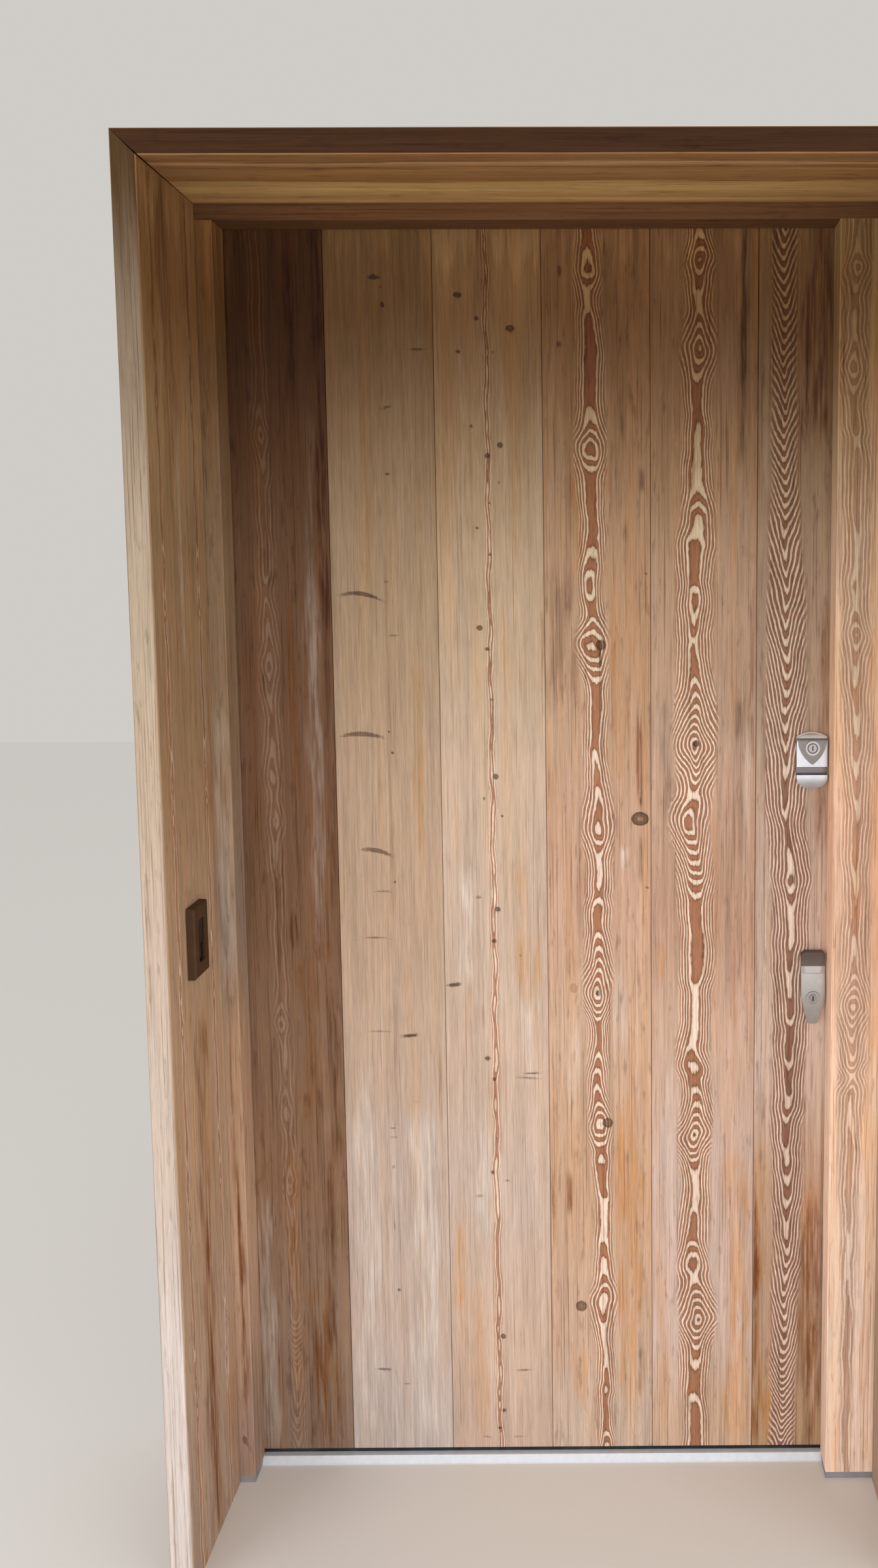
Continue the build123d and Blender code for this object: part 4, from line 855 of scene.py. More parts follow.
BOARD_5_FIGURE = Column(
    line=(
        (2110, 273), (2000, 274), (1918, 272), (1850, 270), (1750, 270), (1650, 272), (1600, 268),
        (1500, 265), (1400, 266), (1330, 268), (1210, 268), (1170, 262), (1138, 256), (1100, 262),
        (1050, 267), (960, 270), (890, 271), (800, 268), (740, 262), (700, 268), (650, 271), (590, 267),
        (530, 269), (450, 268), (353, 263), (300, 270), (253, 276), (200, 268), (18, 269),
    ),
    rings=(
        (2110, 2.0), *steps(1.75, -0.5, 2095, 2083, 2074, 2066, 2056), (2046, 0.25), (2038, 0.75),
        (2026, 1.25), (2014, 1.4), (2004, 1.75),
        *steps(1.75, -0.5, 1978, 1966, 1956, 1946, 1937, 1929, 1918),
        *steps(-0.75, 0.5, 1906, 1897, 1885, 1870), (1855, 1.2), (1812, 1.3), (1800, 0.95), (1780, 0.85),
        (1700, 0.72), (1690, 0.6), (1680, 0.25), (1668, -0.25), (1659, -0.75), (1648, -1.2), (1616, -1.3),
        (1604, -1.7), (1538, -1.75), (1529, -2.25), (1519, -2.6), (1503, -2.75), (1484, -2.3), (1462, -1.9),
        (1446, -1.35), (1432, -1.6),
        *steps(-1.75, -0.5, 1390, 1379, 1366, 1355, 1345, 1334, 1325, 1317, 1310, 1304, 1297, 1291, 1285,
               1279, 1270),
        *steps(-8.75, 0.5, 1262, 1253, 1247, 1241, 1235, 1230, 1225, 1218, 1211, 1204, 1197, 1184),
        (1169, -3.75), (1156, -4.25), (1148, -4.75), (1138, -4.9),
        *steps(-4.75, 0.5, 1128, 1120, 1112, 1104, 1096, 1087, 1078, 1068, 1058, 1051, 1044, 1036, 1022,
               1010), (1000, 2.2), (864, 2.3), (852, 2.7), (750, 2.75), (739, 2.4), (726, 2.2), (714, 1.75),
        (702, 1.9), (690, 2.25), (682, 2.2),
        *steps(1.75, -0.5, 672, 656, 645, 633, 625, 618, 611, 605, 598, 590),
        *steps(-2.25, 0.5, 582, 575, 569, 563, 558, 553, 547, 538), (530, 1.4), (522, 1.7), (458, 1.75),
        (446, 1.3), (404, 1.2), (393, 0.75), (383, 0.25), (373, -0.25), (360, -0.7), (346, -0.7),
        (334, -0.25), (323, -0.3), *steps(-0.75, -0.5, 313, 305, 297, 290, 283, 276, 269, 261, 253),
        *steps(-4.25, 0.5, 245, 238, 232, 226, 220, 213, 203, 190, 170), (152, 0.2), (122, 0.2),
        (112, -0.2), (102, -0.4), (92, -0.7), (18, -0.75),
    ),
    core=(
        (2110, 8), (2056, 5), (2000, 7), (1918, 5), (1860, 8), (1750, 7), (1690, 11), (1640, 9), (1600, 11),
        (1560, 8), (1503, 6), (1450, 5), (1400, 8), (1350, 6), (1270, 4), (1200, 6), (1170, 10), (1138, 6),
        (1080, 8), (980, 9), (900, 11), (850, 6), (800, 6), (740, 7), (714, 12), (680, 8), (650, 6),
        (590, 4), (545, 7), (500, 6), (430, 6), (353, 9), (313, 6), (253, 5), (190, 6), (150, 9), (18, 9),
    ),
    pitch=(
        (2110, 3.4), (2056, 4.6), (2000, 3.6), (1918, 5.6), (1860, 3.6), (1720, 3.2), (1640, 4.2),
        (1500, 3.6), (1380, 3.8), (1270, 5.4), (1210, 4.2), (1138, 5.2), (1050, 3.6), (860, 3.4),
        (640, 3.8), (590, 5.6), (540, 3.6), (360, 4.2), (253, 6.0), (190, 3.6), (18, 3.4),
    ),
    reach=(
        (2110, 21), (2056, 24), (2000, 20), (1918, 29), (1850, 22), (1750, 23), (1650, 28), (1600, 32),
        (1500, 29), (1400, 29), (1270, 37), (1200, 29), (1138, 33), (1050, 29), (800, 27), (590, 27),
        (500, 25), (353, 27), (253, 33), (190, 27), (100, 21), (18, 21),
    ),
)

BOARD_6_FIGURE = Column(
    line=(
        (2110, 410), (1900, 411), (1600, 415), (1450, 419), (1250, 418), (1118, 421), (1037, 431),
        (900, 429), (745, 430), (600, 425), (450, 428), (300, 425), (18, 421),
    ),
    rings=(
        (2110, 0.0), (1640, 25.0), (1600, 26.25), (1575, 26.9), (1425, 32.25), (1300, 36.6), (1280, 37.2),
        (1262, 37.7), (1245, 38.25), (1220, 38.75), (1190, 39.2), (1164, 39.35), (1148, 39.75),
        (1130, 40.2), (1105, 40.2), (1085, 39.75), (1055, 39.7), (1037, 39.3), (1020, 39.75), (1006, 40.25),
        (985, 40.7), (925, 40.75), (905, 41.2), (885, 41.3), (868, 41.7), (838, 41.8), (820, 42.2),
        (800, 42.3), (790, 42.75), (778, 43.2), (728, 43.3), (714, 43.75), (695, 44.2), (666, 44.3),
        (652, 44.75), (636, 44.8), (627, 45.25), (615, 45.75), (602, 46.2), (572, 46.3), (558, 46.75),
        (536, 46.8), *steps(47.25, 0.5, 525, 505, 482, 465, 447), (428, 49.7), (404, 49.8), (390, 50.25),
        (362, 51.25), (340, 52.25), (310, 53.25), (200, 58.2), (150, 61.4), (18, 72.4),
    ),
    core=(
        (2110, 3.5), (1700, 3.5), (1600, 4), (1500, 4), (1300, 5), (1200, 5), (1118, 4), (1037, 6),
        (900, 5), (745, 6), (600, 6), (450, 5), (300, 4), (18, 4),
    ),
    pitch=(
        (2110, 6.4), (1650, 6.2), (1500, 5.2), (1250, 4.4), (1037, 4.2), (600, 3.9), (300, 4.2), (100, 4.8),
        (18, 5.0),
    ),
    reach=(
        (2110, 18), (1700, 20), (1550, 29), (1400, 32), (1250, 33), (1118, 34), (950, 32), (800, 30),
        (700, 28), (500, 24), (300, 22), (100, 20), (18, 20),
    ),
)

BOARD_3_FIGURE = Column(
    line=((2110, -72), (1000, -72), (500, -74), (18, -74)),
    rings=(
        (2110, 0.75), (2095, 0.93), (2080, 0.75), (2067, 0.93), (2045, 0.75), (2023, 0.93), (2005, 0.75),
        (1987, 0.93), (1968, 0.70), (1945, 0.93), (1935, 0.75), (1925, 0.93), (1912, 0.75), (1902, 0.93),
        (1890, 0.77), (1830, 0.75), (1815, 0.91), (1800, 0.75), (1780, 0.87), (1765, 0.75), (1745, 0.94),
        (1710, 0.91), (1690, 0.75), (1620, 0.87), (1600, 0.75), (1520, 0.91), (1480, 0.91), (1440, 0.75),
        (1410, 0.93), (1375, 0.93), (1355, 0.75), (1330, 0.91), (1240, 0.91), (1225, 0.75), (1200, 0.96),
        (1175, 0.96), (1165, 0.75), (1140, 0.75), (1105, 0.91), (1075, 0.75), (1040, 0.91), (1010, 0.75),
        (985, 0.87), (960, 0.73), (935, 1.16), (910, 0.71), (885, 0.79), (850, 1.16), (830, 0.71),
        (783, 1.16), (760, 1.09), (740, 0.71), (710, 0.71), (695, 1.16), (672, 1.16), (650, 0.71),
        (614, 1.16), (590, 0.94), (565, 1.16), (545, 0.71), (450, 0.71), (435, 1.12), (305, 1.16),
        (290, 0.71), (270, 0.79), (250, 1.09), (238, 0.71), (225, 1.09), (210, 0.71), (180, 1.09),
        (165, 0.75), (130, 1.01), (120, 0.75), (110, 1.01), (100, 0.75), (85, 1.09), (60, 1.09), (40, 0.86),
        (18, 0.86),
    ),
    core=((2110, 1.6), (1000, 2.0), (18, 2.2)),
    pitch=((2110, 3.2), (18, 3.2)),
    reach=((2110, 6), (1700, 5), (900, 6), (18, 6)),
    strength=0.8,
    fade=4.0,
)

BOARD_1_FIGURE = Column(
    line=((2110, -442), (1400, -438), (800, -436), (500, -430), (18, -430)),
    rings=(
        (2110, 2.25), (1850, 2.25), (1810, 1.5), (1783, 0.25), (1760, 1.25), (1700, 2.25), (1560, 2.25),
        (1530, 3.25), (1500, 2.25), (1440, 1.25), (1401, 0.25), (1370, 1.25), (1310, 2.25), (1250, 1.5),
        (1218, 0.5), (1190, 1.5), (1143, 0.5), (1110, 1.5), (1000, 2.25), (830, 2.0), (790, 0.25),
        (760, 1.5), (680, 2.0), (633, 0.5), (600, 1.5), (540, 1.0), (511, 0.25), (503, 0.75), (496, 0.25),
        (480, 1.25), (400, 2.25), (270, 3.0), (255, 3.5), (167, 11.5), (120, 12.0), (60, 14.0), (50, 15.0),
        (18, 16.0),
    ),
    core=((2110, 4), (18, 4)),
    pitch=((2110, 4.5), (18, 5)),
    reach=((2110, 12), (1400, 16), (900, 12), (18, 11)),
    strength=0.14,
)

BOARD_2_MARKS = marks(
    (-251, 2031, 10, 4, 0, 0.8), (-251, 2050, 1.2, 18, 0, 0.5), (-240, 2016, 3, 3), (-238, 1988, 4, 5),
    (-249, 1955, 2, 2), (-185, 1917, 15, 2.5, 0, 0.6), (-235, 1825, 10, 2.5, 20, 0.6),
    (-248, 1820, 1, 30, 0, 0.3), (-235, 1718, 4, 2.5), (-253, 1680, 5, 2, 0, 0.4),
    (-282, 1523, 37, 3.6, -9, 0.75, 7), (-287, 1290, 38, 4, -2, 0.7, 6), (-267, 1092, 27, 4, -12, 0.7, 4),
    (-275, 165, 15, 2.5, -4, 0.7), (-241, 1543, 4, 3, 0, 0.5), (-232, 1454, 8, 2, 0, 0.5),
    (-244, 1293, 3, 3), (-238, 1258, 3, 3), (-260, 1022, 17, 1.6, 0, 0.6, 2), (-286, 1094, 6, 4, 30, 0.45),
    (-313, 1521, 6, 3, 10, 0.5), (-274, 942, 29, 1.6, 0, 0.6, 3), (-270, 778, 25, 1.4, 0, 0.45, 2),
    (-219, 770, 18, 3, 8, 0.9), (-239, 1038, 3, 3), (-210, 652, 7, 1.5, 0, 0.5), (-251, 605, 6, 2, 0, 0.6),
    (-250, 589, 6, 2, 0, 0.6), (-251, 536, 3, 3), (-252, 430, 1.5, 10, 0, 0.5), (-247, 312, 4, 3),
    (-237, 138, 6, 1.5, 0, 0.5),
)

BOARD_3_MARKS = marks(
    (-117, 2003, 7, 5), (-87, 1966, 4, 4), (-33, 1950, 8, 5.5), (-30, 1938, 1.5, 9, 0, 0.6),
    (-117, 1913, 5, 3), (-62, 1912, 3, 2.5), (-98, 1795, 3, 3), (-51, 1764, 5, 5), (-72, 1747, 4.5, 4.5),
    (-54, 1704, 2.5, 2.5), (-70, 1671, 2.5, 2.5), (-91, 1630, 3, 2.5), (-70, 1587, 3, 3),
    (-89, 1466, 5.5, 4.5), (-77, 1431, 4.5, 3), (-71, 1347, 3, 2.5), (-66, 1217, 5, 5),
    (-87, 1180, 3.5, 2.5), (-56, 1150, 2.5, 2.5), (-98, 1011, 6, 3, 0, 0.5), (-66, 990, 5, 4.5),
    (-73, 935, 4.5, 4), (-141, 859, 14, 3.5, 6, 0.85), (-29, 909, 3, 2, 0, 0.6), (-87, 729, 5, 4),
    (-76, 692, 3.5, 3.5), (-12, 702, 22, 2, 6, 0.7), (-14, 693, 20, 1.8, -3, 0.7),
    (-112, 600, 4, 1.5, 0, 0.5), (-81, 525, 3.5, 4), (-56, 510, 5, 2, 0, 0.5), (-104, 483, 7, 2.5, 0, 0.5),
    (-67, 225, 5, 5), (-31, 162, 14, 2, 4, 0.7), (-67, 87, 4, 3.5), (-75, 54, 3.5, 3),
    (-97, 37, 8, 1.8, -12, 0.6), (-41, 37, 11, 1.8, 0, 0.6),
)

BOARD_4_MARKS = marks(
    (48, 2041, 4, 10, 0, 0.6), (46, 1925, 4, 6, 0, 0.6), (175, 1144, 15, 12, 0, 0.9), (111, 1437, 8, 9, 20),
    (110, 1415, 2, 14, 4, 0.7), (118, 613, 9, 9), (70, 280, 10, 10, 0, 0.8), (72, 243, 1, 16, -3, 0.4),
    (103, 843, 5, 6, 0, 0.6), (186, 1554, 3, 2.5, 0, 0.6), (187, 1026, 3, 2.5, 0, 0.6),
    (61, 852, 7, 9, 0, 0.3), (175, 1175, 2.5, 10, 0, 0.7),
)

BOARD_5_MARKS = marks((269, 1271, 6, 6, 30, 0.85), (267, 590, 3, 3, 0, 0.5))
BOARD_6_MARKS = marks((435, 1037, 2.5, 11, 0, 0.6))

# Heights in mm at which the boards' tones are given. The painted shade of the porch is laid over them.
BOARD_HEIGHTS = (1250, 1000, 750, 500, 250, 60)
CALM = {"smudge": 0.15, "seam": 0.4, "warmth": 0.35}


def board(number: int, slot: str, codes: str, figure: Column | None = None, spots: tuple[Mark, ...] = (),
          patches: tuple[Stain, ...] = (), **look: Any) -> FiguredFace:
    """Describes one outer board of the leaf.

    Args:
        number: its place from the hinge side, from 1 to 6.
        slot: its material slot in the record.
        codes: its hex colours at BOARD_HEIGHTS.
        figure: its figure, if it shows one.
        spots: its knots and tears.
        patches: its stains.
        **look: values of the timber that differ from the usual ones.

    Returns:
        The board's face.
    """
    look = {"smudge": 0.45, "seed": 7.0 * (number - 1), **look}
    timber = Timber(f"larch_{slot}", pairs(BOARD_HEIGHTS, codes), figured=True, **look)
    # The boards in the middle meet their neighbours on both sides without a gap.
    snug = 0.0 if number in (1, 6) else 0.25
    columns = (figure,) if figure else ()
    return FiguredFace(f"outer_board_{number}", "door", slot, timber, columns, spots, patches, snug=snug)


BOARDS = (
    board(
        1, "board_dark", "#785843 #7e5d45 #886a53 #8f6e55 #937a67 #8f7666", BOARD_1_FIGURE,
        patches=stains(
            amber=((-453, 14, 2030, 1930, 0.6), (-401, 6, 1500, 1200, 0.9), (-359, 20, 935, 905, 0.9),
                   (-380, 24, 330, 30, 0.8), (-470, 12, 1500, 1100, 0.3), (-385, 22, 900, 620, 0.6),
                   (-425, 9, 560, 60, 0.7)),
            umber=((-390, 8, 2110, 1850, 0.6), (-343, 7, 2110, 1430, 0.8), (-349, 8, 850, 560, 0.5),
                   (-412, 5, 985, 930, 0.6), (-364, 6, 520, 200, 0.6), (-341, 6, 1430, 1000, 0.4),
                   (-390, 16, 260, 30, 0.45)),
            bleach=((-366, 12, 1540, 990, 0.09), (-368, 8, 1040, 600, 0.05), (-478, 16, 480, 20, 0.16),
                    (-364, 7, 1800, 1200, 0.06)),
        ),
    ),
    board(
        2, "board_olive", "#b59a82 #ba9e87 #c1a792 #c7b3a6 #c6b1a3 #c3b4ac", None, BOARD_2_MARKS,
        stains(
            umber=((-207, 4, 2110, 2000, 0.35), (-243, 0.8, 2110, 20, 0.25)),
            amber=((-195, 8, 1420, 1080, 0.4), (-270, 8, 2000, 1500, 0.25), (-215, 12, 900, 500, 0.25)),
            bleach=((-300, 18, 700, 60, 0.25), (-200, 22, 620, 60, 0.3)),
        ),
        **CALM,
    ),
    board(
        3, "board_pale", "#c8ae98 #c4ac99 #cab09c #c8b2a3 #ceb29e #c7ac9a", BOARD_3_FIGURE, BOARD_3_MARKS,
        stains(
            amber=((-27, 7, 1060, 850, 0.7), (0, 8, 950, 850, 0.5), (-141, 5, 420, 280, 0.8),
                   (-50, 9, 1500, 1000, 0.25), (-110, 14, 300, 40, 0.3)),
            bleach=((-120, 12, 1050, 860, 0.35), (-20, 14, 820, 700, 0.3), (-95, 12, 600, 420, 0.3)),
            umber=((15, 3, 1500, 1400, 0.5), (-100, 8, 820, 780, 0.15)),
        ),
        **CALM,
    ),
    board(
        4, "board_grey", "#c19e85 #c6a189 #cdab92 #c8a386 #ccab94 #cab2a0", BOARD_4_FIGURE, BOARD_4_MARKS,
        stains(
            amber=((155, 22, 640, 110, 0.6), (97, 30, 1725, 1560, 0.8), (150, 26, 1500, 1200, 0.3),
                   (70, 14, 200, 100, 0.4)),
            umber=((51, 5, 520, 450, 0.6), (175, 3, 1350, 1165, 0.7), (172, 8, 200, 120, 0.35),
                   (60, 5, 1700, 1500, 0.25), (65, 8, 1450, 1350, 0.3), (75, 8, 1050, 900, 0.15)),
            slate=((175, 2, 1110, 1040, 0.6), (148, 4, 1850, 1780, 0.4), (180, 4, 1725, 1690, 0.5),
                   (40, 20, 1550, 1350, 0.3), (30, 10, 1250, 1050, 0.2)),
            bleach=((148, 4, 1092, 1060, 0.7), (60, 10, 800, 640, 0.2), (140, 10, 880, 760, 0.25)),
        ),
    ),
    board(
        5, "board_amber", "#c09f89 #be9982 #cead98 #cfb4a6 #d1b6a8 #ccac93", BOARD_5_FIGURE, BOARD_5_MARKS,
        stains(
            amber=((344, 20, 560, 30, 0.62), (330, 10, 1500, 1300, 0.3), (210, 10, 500, 100, 0.3),
                   (210, 8, 930, 860, 0.4)),
            slate=((346, 5, 2110, 1850, 0.95), (342, 5, 1850, 1740, 0.5), (342, 5, 1340, 1280, 0.5),
                   (215, 9, 1350, 1150, 0.3), (345, 4, 1200, 1080, 0.3)),
            bleach=((324, 5, 1980, 1800, 0.1), (355, 5, 1300, 1000, 0.2), (222, 10, 720, 560, 0.2)),
            umber=((361, 3, 1500, 1250, 0.5), (330, 14, 1000, 780, 0.2)),
        ),
    ),
    board(
        6, "board_chevron", "#bb9e8a #c9af9e #ceb4a4 #be9b82 #b99880 #bb9a7b", BOARD_6_FIGURE, BOARD_6_MARKS,
        stains(
            umber=((466, 25, 2110, 1780, 0.6), (373, 8, 500, 280, 0.8), (474, 18, 460, 20, 0.5),
                   (385, 12, 1700, 1200, 0.2), (480, 10, 1500, 1100, 0.4), (375, 5, 280, 20, 0.5)),
            amber=((374, 11, 560, 30, 0.7), (465, 14, 500, 150, 0.6), (400, 12, 120, 20, 0.6)),
            slate=((395, 8, 1500, 1200, 0.2), (455, 10, 400, 150, 0.2)),
        ),
        lines=CHEVRON_TONES,
    ),
)


# Other finishes


@dataclass(frozen=True)
class Zone:
    """A box of a metal piece, in mm, given another tone: mostly painted highlights, reflections and shade.
    None leaves a side open.
    """

    colour: str
    low: tuple[float | None, float | None, float | None] = (None, None, None)
    high: tuple[float | None, float | None, float | None] = (None, None, None)

    def mask(self, tree: bpy.types.NodeTree, place: Any) -> Any:
        """Adds the nodes that tell whether a place lies in the box.

        Args:
            tree: the material's tree.
            place: the socket with Object coordinates.

        Returns:
            The socket with 1 inside and 0 outside.
        """
        split = add(tree, "SeparateXYZ", {0: place}).outputs
        inside = 1.0
        for bounds, test in ((self.low, "GREATER_THAN"), (self.high, "LESS_THAN")):
            for axis, bound in enumerate(bounds):
                if bound is not None:
                    past = add(tree, "Math", {0: split[axis], 1: bound * MM}, operation=test).outputs[0]
                    inside = add(tree, "Math", {0: past, 1: inside}, operation="MULTIPLY").outputs[0]
        return inside


@dataclass(frozen=True)
class Metal(Finish):
    """A worked metal. Fine brushing or a fine grit shows as a slight spread of the highlight."""

    colour: str
    roughness: float
    brushed: Place = (1.0, 1.0, 1.0)
    spread: float = 0.12
    grit: float = 1.2
    metallic: float = 1.0
    zones: tuple[Zone, ...] = ()

    CLOUD_SIZE = 11.11
    CLOUD_TONE = (0.9, 1.08)
    BUMP = 0.08
    BUMP_DEPTH = 0.05

    def sockets(self, tree: bpy.types.NodeTree) -> dict[str, Any]:
        """Adds the metal's grit, its cloudy tone and its zones.

        Args:
            tree: the material's tree.

        Returns:
            What goes into the inputs of the shader, by name.
        """
        place = add(tree, "TexCoord").outputs["Object"]
        scale = tuple(axis / (self.grit * MM) for axis in self.brushed)
        moved = add(tree, "Mapping", {"Vector": place, "Scale": scale}).outputs[0]
        grit = add(tree, "TexNoise", {"Vector": moved, "Scale": 1.0, "Detail": 3.0}).outputs["Fac"]
        rough = add(tree, "MapRange", {"Value": grit, "To Min": self.roughness - self.spread,
                                       "To Max": self.roughness + self.spread}).outputs[0]
        cloud = add(tree, "TexNoise", {"Vector": place, "Scale": 1 / (self.CLOUD_SIZE * MM),
                                       "Detail": 2.0}).outputs["Fac"]
        dark, light = self.CLOUD_TONE
        tone = add(tree, "MapRange", {"Value": cloud, "To Min": dark, "To Max": light}).outputs[0]
        base = linear(self.colour)
        # The zones lay another tone on the base colour, mostly painted light and shade.
        for zone in self.zones:
            inside = zone.mask(tree, place)
            base = add(tree, "Mix", {0: inside, 6: base, 7: zone.colour}, **LAID).outputs[2]
        colour = add(tree, "Mix", {0: 1.0, 6: base, 7: tone}, **TINTED).outputs[2]
        relief = add(tree, "Bump", {"Height": grit, "Strength": self.BUMP, "Distance": self.BUMP_DEPTH * MM})
        return {"Base Color": colour, "Metallic": self.metallic, "Roughness": rough,
                "Normal": relief.outputs[0]}


@dataclass(frozen=True)
class Moulding(Finish):
    """A plastic, rubber or painted surface: one colour, a fine grain and a little wear in the colour."""

    colour: str
    worn: str
    roughness: float
    ior: float = 1.5
    grain: float = 1.5
    bump: float = 0.15
    shine: float = 0.5

    WEAR_SIZE = 45.45
    WEAR_SPAN = (0.4, 0.75)
    SMOOTHER = 0.06
    ROUGHER = 0.1
    BUMP_DEPTH = 0.1

    def sockets(self, tree: bpy.types.NodeTree) -> dict[str, Any]:
        """Adds the surface's grain and its wear.

        Args:
            tree: the material's tree.

        Returns:
            What goes into the inputs of the shader, by name.
        """
        place = add(tree, "TexCoord").outputs["Object"]
        grain = add(tree, "TexNoise", {"Vector": place, "Scale": 1 / (self.grain * MM),
                                       "Detail": 3.0}).outputs["Fac"]
        wear = add(tree, "TexNoise", {"Vector": place, "Scale": 1 / (self.WEAR_SIZE * MM), "Detail": 4.0,
                                      "Roughness": 0.6}).outputs["Fac"]
        low, high = self.WEAR_SPAN
        amount = add(tree, "MapRange", {"Value": wear, "From Min": low, "From Max": high}).outputs[0]
        colour = add(tree, "Mix", {0: amount, 6: self.colour, 7: self.worn}, **LAID).outputs[2]
        rough = add(tree, "MapRange", {"Value": grain, "To Min": self.roughness - self.SMOOTHER,
                                       "To Max": self.roughness + self.ROUGHER}).outputs[0]
        relief = add(tree, "Bump", {"Height": grain, "Strength": self.bump, "Distance": self.BUMP_DEPTH * MM})
        return {"Base Color": colour, "Roughness": rough, "IOR": self.ior, "Specular IOR Level": self.shine,
                "Normal": relief.outputs[0]}


@dataclass(frozen=True)
class Plain(Finish):
    """An even matt colour."""

    colour: str
    roughness: float

    def sockets(self, tree: bpy.types.NodeTree) -> dict[str, Any]:
        """Gives the colour and the roughness; no node is added to the tree."""
        return {"Base Color": self.colour, "Roughness": self.roughness}


# Zinc alloy with satin chrome plating: a cool grey with soft highlights. Its zones are painted light: a
# painted dark reflection on the raised shield, a painted shadow in the finger groove and a painted highlight
# on the crown over the keyhole.
PULL_CHROME = Metal("satin_chrome_pull", "#bdbcc2", 0.34, grit=0.9, zones=(
    Zone("#77716e", low=(None, None, 1236.0), high=(None, -11.3, None)),
    Zone("#6f696b", low=(None, None, 1219.6), high=(None, None, 1232.4)),
    Zone("#efedee", low=(None, None, 1281.5)),
))
# The same plating on the lower plate, warmer, with a painted dark reflection on its outcurved top and a small
# pale field.
ESCUTCHEON_CHROME = Metal("satin_chrome_escutcheon", "#aaa5a2", 0.40, grit=0.9, zones=(
    Zone("#79706b", low=(None, None, 891.2)),
    Zone("#bdb8b6", low=(452.0, -7.7, 878.2), high=(482.0, -7.0, 890.8)),
))
# Satin chrome on the inside fittings, handled daily and so a little smoother.
SATIN_CHROME = Metal("satin_chrome_fittings", "#bcbcbf", 0.32, grit=0.9)
# Turned brass under the same plating, with a painted shade darkening the ring groove round the plug.
CYLINDER_CHROME = Metal("plated_cylinder", "#a39d9c", 0.30, grit=0.9, zones=(
    Zone("#5d5655", low=(None, -16.4, None), high=(None, -14.6, None)),
))
# The same plating on the plug, darker and with a finer grit.
PLUG_CHROME = Metal("plated_plug", "#928b8b", 0.28, grit=0.7)
# Cold-rolled steel with zinc plating: a duller grey with a cloudy surface.
LOCK_STEEL = Metal("zinc_plated_steel", "#a9abad", 0.42, grit=2.0, spread=0.15)
# Brushed stainless steel: fine upright lines. Real ones are finer than these, which are drawn a third of a
# millimetre wide to show.
HINGE_STEEL = Metal("brushed_stainless_steel", "#b6b7b8", 0.38, brushed=(6.0, 6.0, 0.4), grit=2.0)
# Extruded mill-finish aluminium under its own white oxide, which dulls its shine. Fine lines run along it,
# as the die left them.
SILL_ALUMINIUM = Metal("oxidised_mill_aluminium", "#e6ebf2", 0.5, brushed=(0.3, 6.0, 6.0), grit=2.5,
                       metallic=0.4)
# EPDM rubber, extruded: black, matt, with a bloom of dust.
SEAL_RUBBER = Moulding("epdm_rubber", "#1d1f22", "#34373a", 0.62, grain=2.5, shine=0.25)
# Recycled plastic packing pad: light grey, weathered.
SILL_PAD = Moulding("grey_packing_pad", "#9a989c", "#858288", 0.7, grain=3.0, shine=0.3)
# Stone wool board: a dull yellow-brown felt.
INSULATION = Moulding("stone_wool", "#8c8258", "#6f6846", 0.9, grain=4.0, bump=0.6, shine=0.1)
# ABS moulded with a fine spark texture: a dark bronze brown with a dull shine.
BELL_MOULDING = Moulding("bronze_abs", "#46301d", "#513a26", 0.5, grain=1.0, bump=0.25, shine=0.2)
# Polished black acrylic: nearly black, with clear highlights.
BELL_LENS = Moulding("black_acrylic", "#15110f", "#1d1815", 0.16, ior=1.49, bump=0.02)
# Baked enamel on the inside lock case: an even grey with a soft shine.
RIM_ENAMEL = Moulding("grey_enamel", "#8d8f8e", "#7d7f7e", 0.4)
# Matt paint on the studio's floor: pale and even.
FLOOR_PAINT = Plain("studio_floor", "#e9e5df", 0.8)

# Tones from the head down, at heights in mm. The bands of the head lining are at depths from the street in.
HEIGHTS = (2100, 1850, 1600, 1300, 1000, 700, 400, 60)
# Painted light: the left post's top tone is lighter, to make up for the shade in the corner under the head.
FRAME_TONES_WITH_PAINTED_LIGHT = pairs(HEIGHTS, "#dbb493 #b89779 #a7896e #9c8067 #9a8674 #bd9b80 #c9a78d #a98d7c")
# Painted light: the right post's tones are lighter than its wood, to make up for the shade of the casing
# beside it, and lightest at the top.
POST_TONES_WITH_PAINTED_LIGHT = pairs(HEIGHTS, "#fff2da #ffdfc0 #ffdcc6 #ffd4b4 #f9cfb3 #ffddc2 #ffe3cf #fde0cd")
# Painted light: the lining's two top tones are lighter, to make up for the shade in the corner under the
# head.
LINING_TONES_WITH_PAINTED_LIGHT = pairs(HEIGHTS, "#ebccb5 #f0d0b1 #b49475 #aa8b6d #b69a7d #bfa286 #bba088 #b39b89")
# Painted shade: the street faces of the linings darken towards the top as the porch's shadow falls on them.
STREET_TONES_WITH_PAINTED_SHADE = pairs((2110, *HEIGHTS[1:]), "#50391f #85735f #ac9984 #b9a48e #c6b1a0 #cab7a8 #d2c4bc #d2c5be")
# Painted shade: the head's dark tone is mostly the porch's shadow over the wood's own colour.
HEAD_TONES_WITH_PAINTED_SHADE = pairs((2165, 2100), "#614229 #614229")
SOFFIT_TONES = pairs((2165, 2105), "#bca583 #bca583")
# Painted shade: the head lining's street face is this dark mostly from the porch's shadow.
SOFFIT_FRONT_WITH_PAINTED_SHADE = pairs((2165, 2125), "#402714 #402714")
# Partly painted light: across its depth the soffit's tone follows the light thrown up from the porch floor,
# over the lining's own bands.
SOFFIT_BANDS_WITH_PAINTED_LIGHT = pairs(
    (-250, -222, -214, -200, -190, -170, -150, -140, -105, -80, -62, -54),
    "#c9ab93 #b0947b #f0dcc4 #b08f74 #d8bd9d #cdb08c #c0a07c #f5e3bd #ffeec8 #e5cfa5 #ffe9c0 #c8ab84")
INSIDE_TONES = pairs((2080, 1200, 60), "#a87d54 #ae845a #a87c53")
PANEL_TONES = pairs((2080, 1200, 60), "#b58a5f #ba9066 #b3885e")

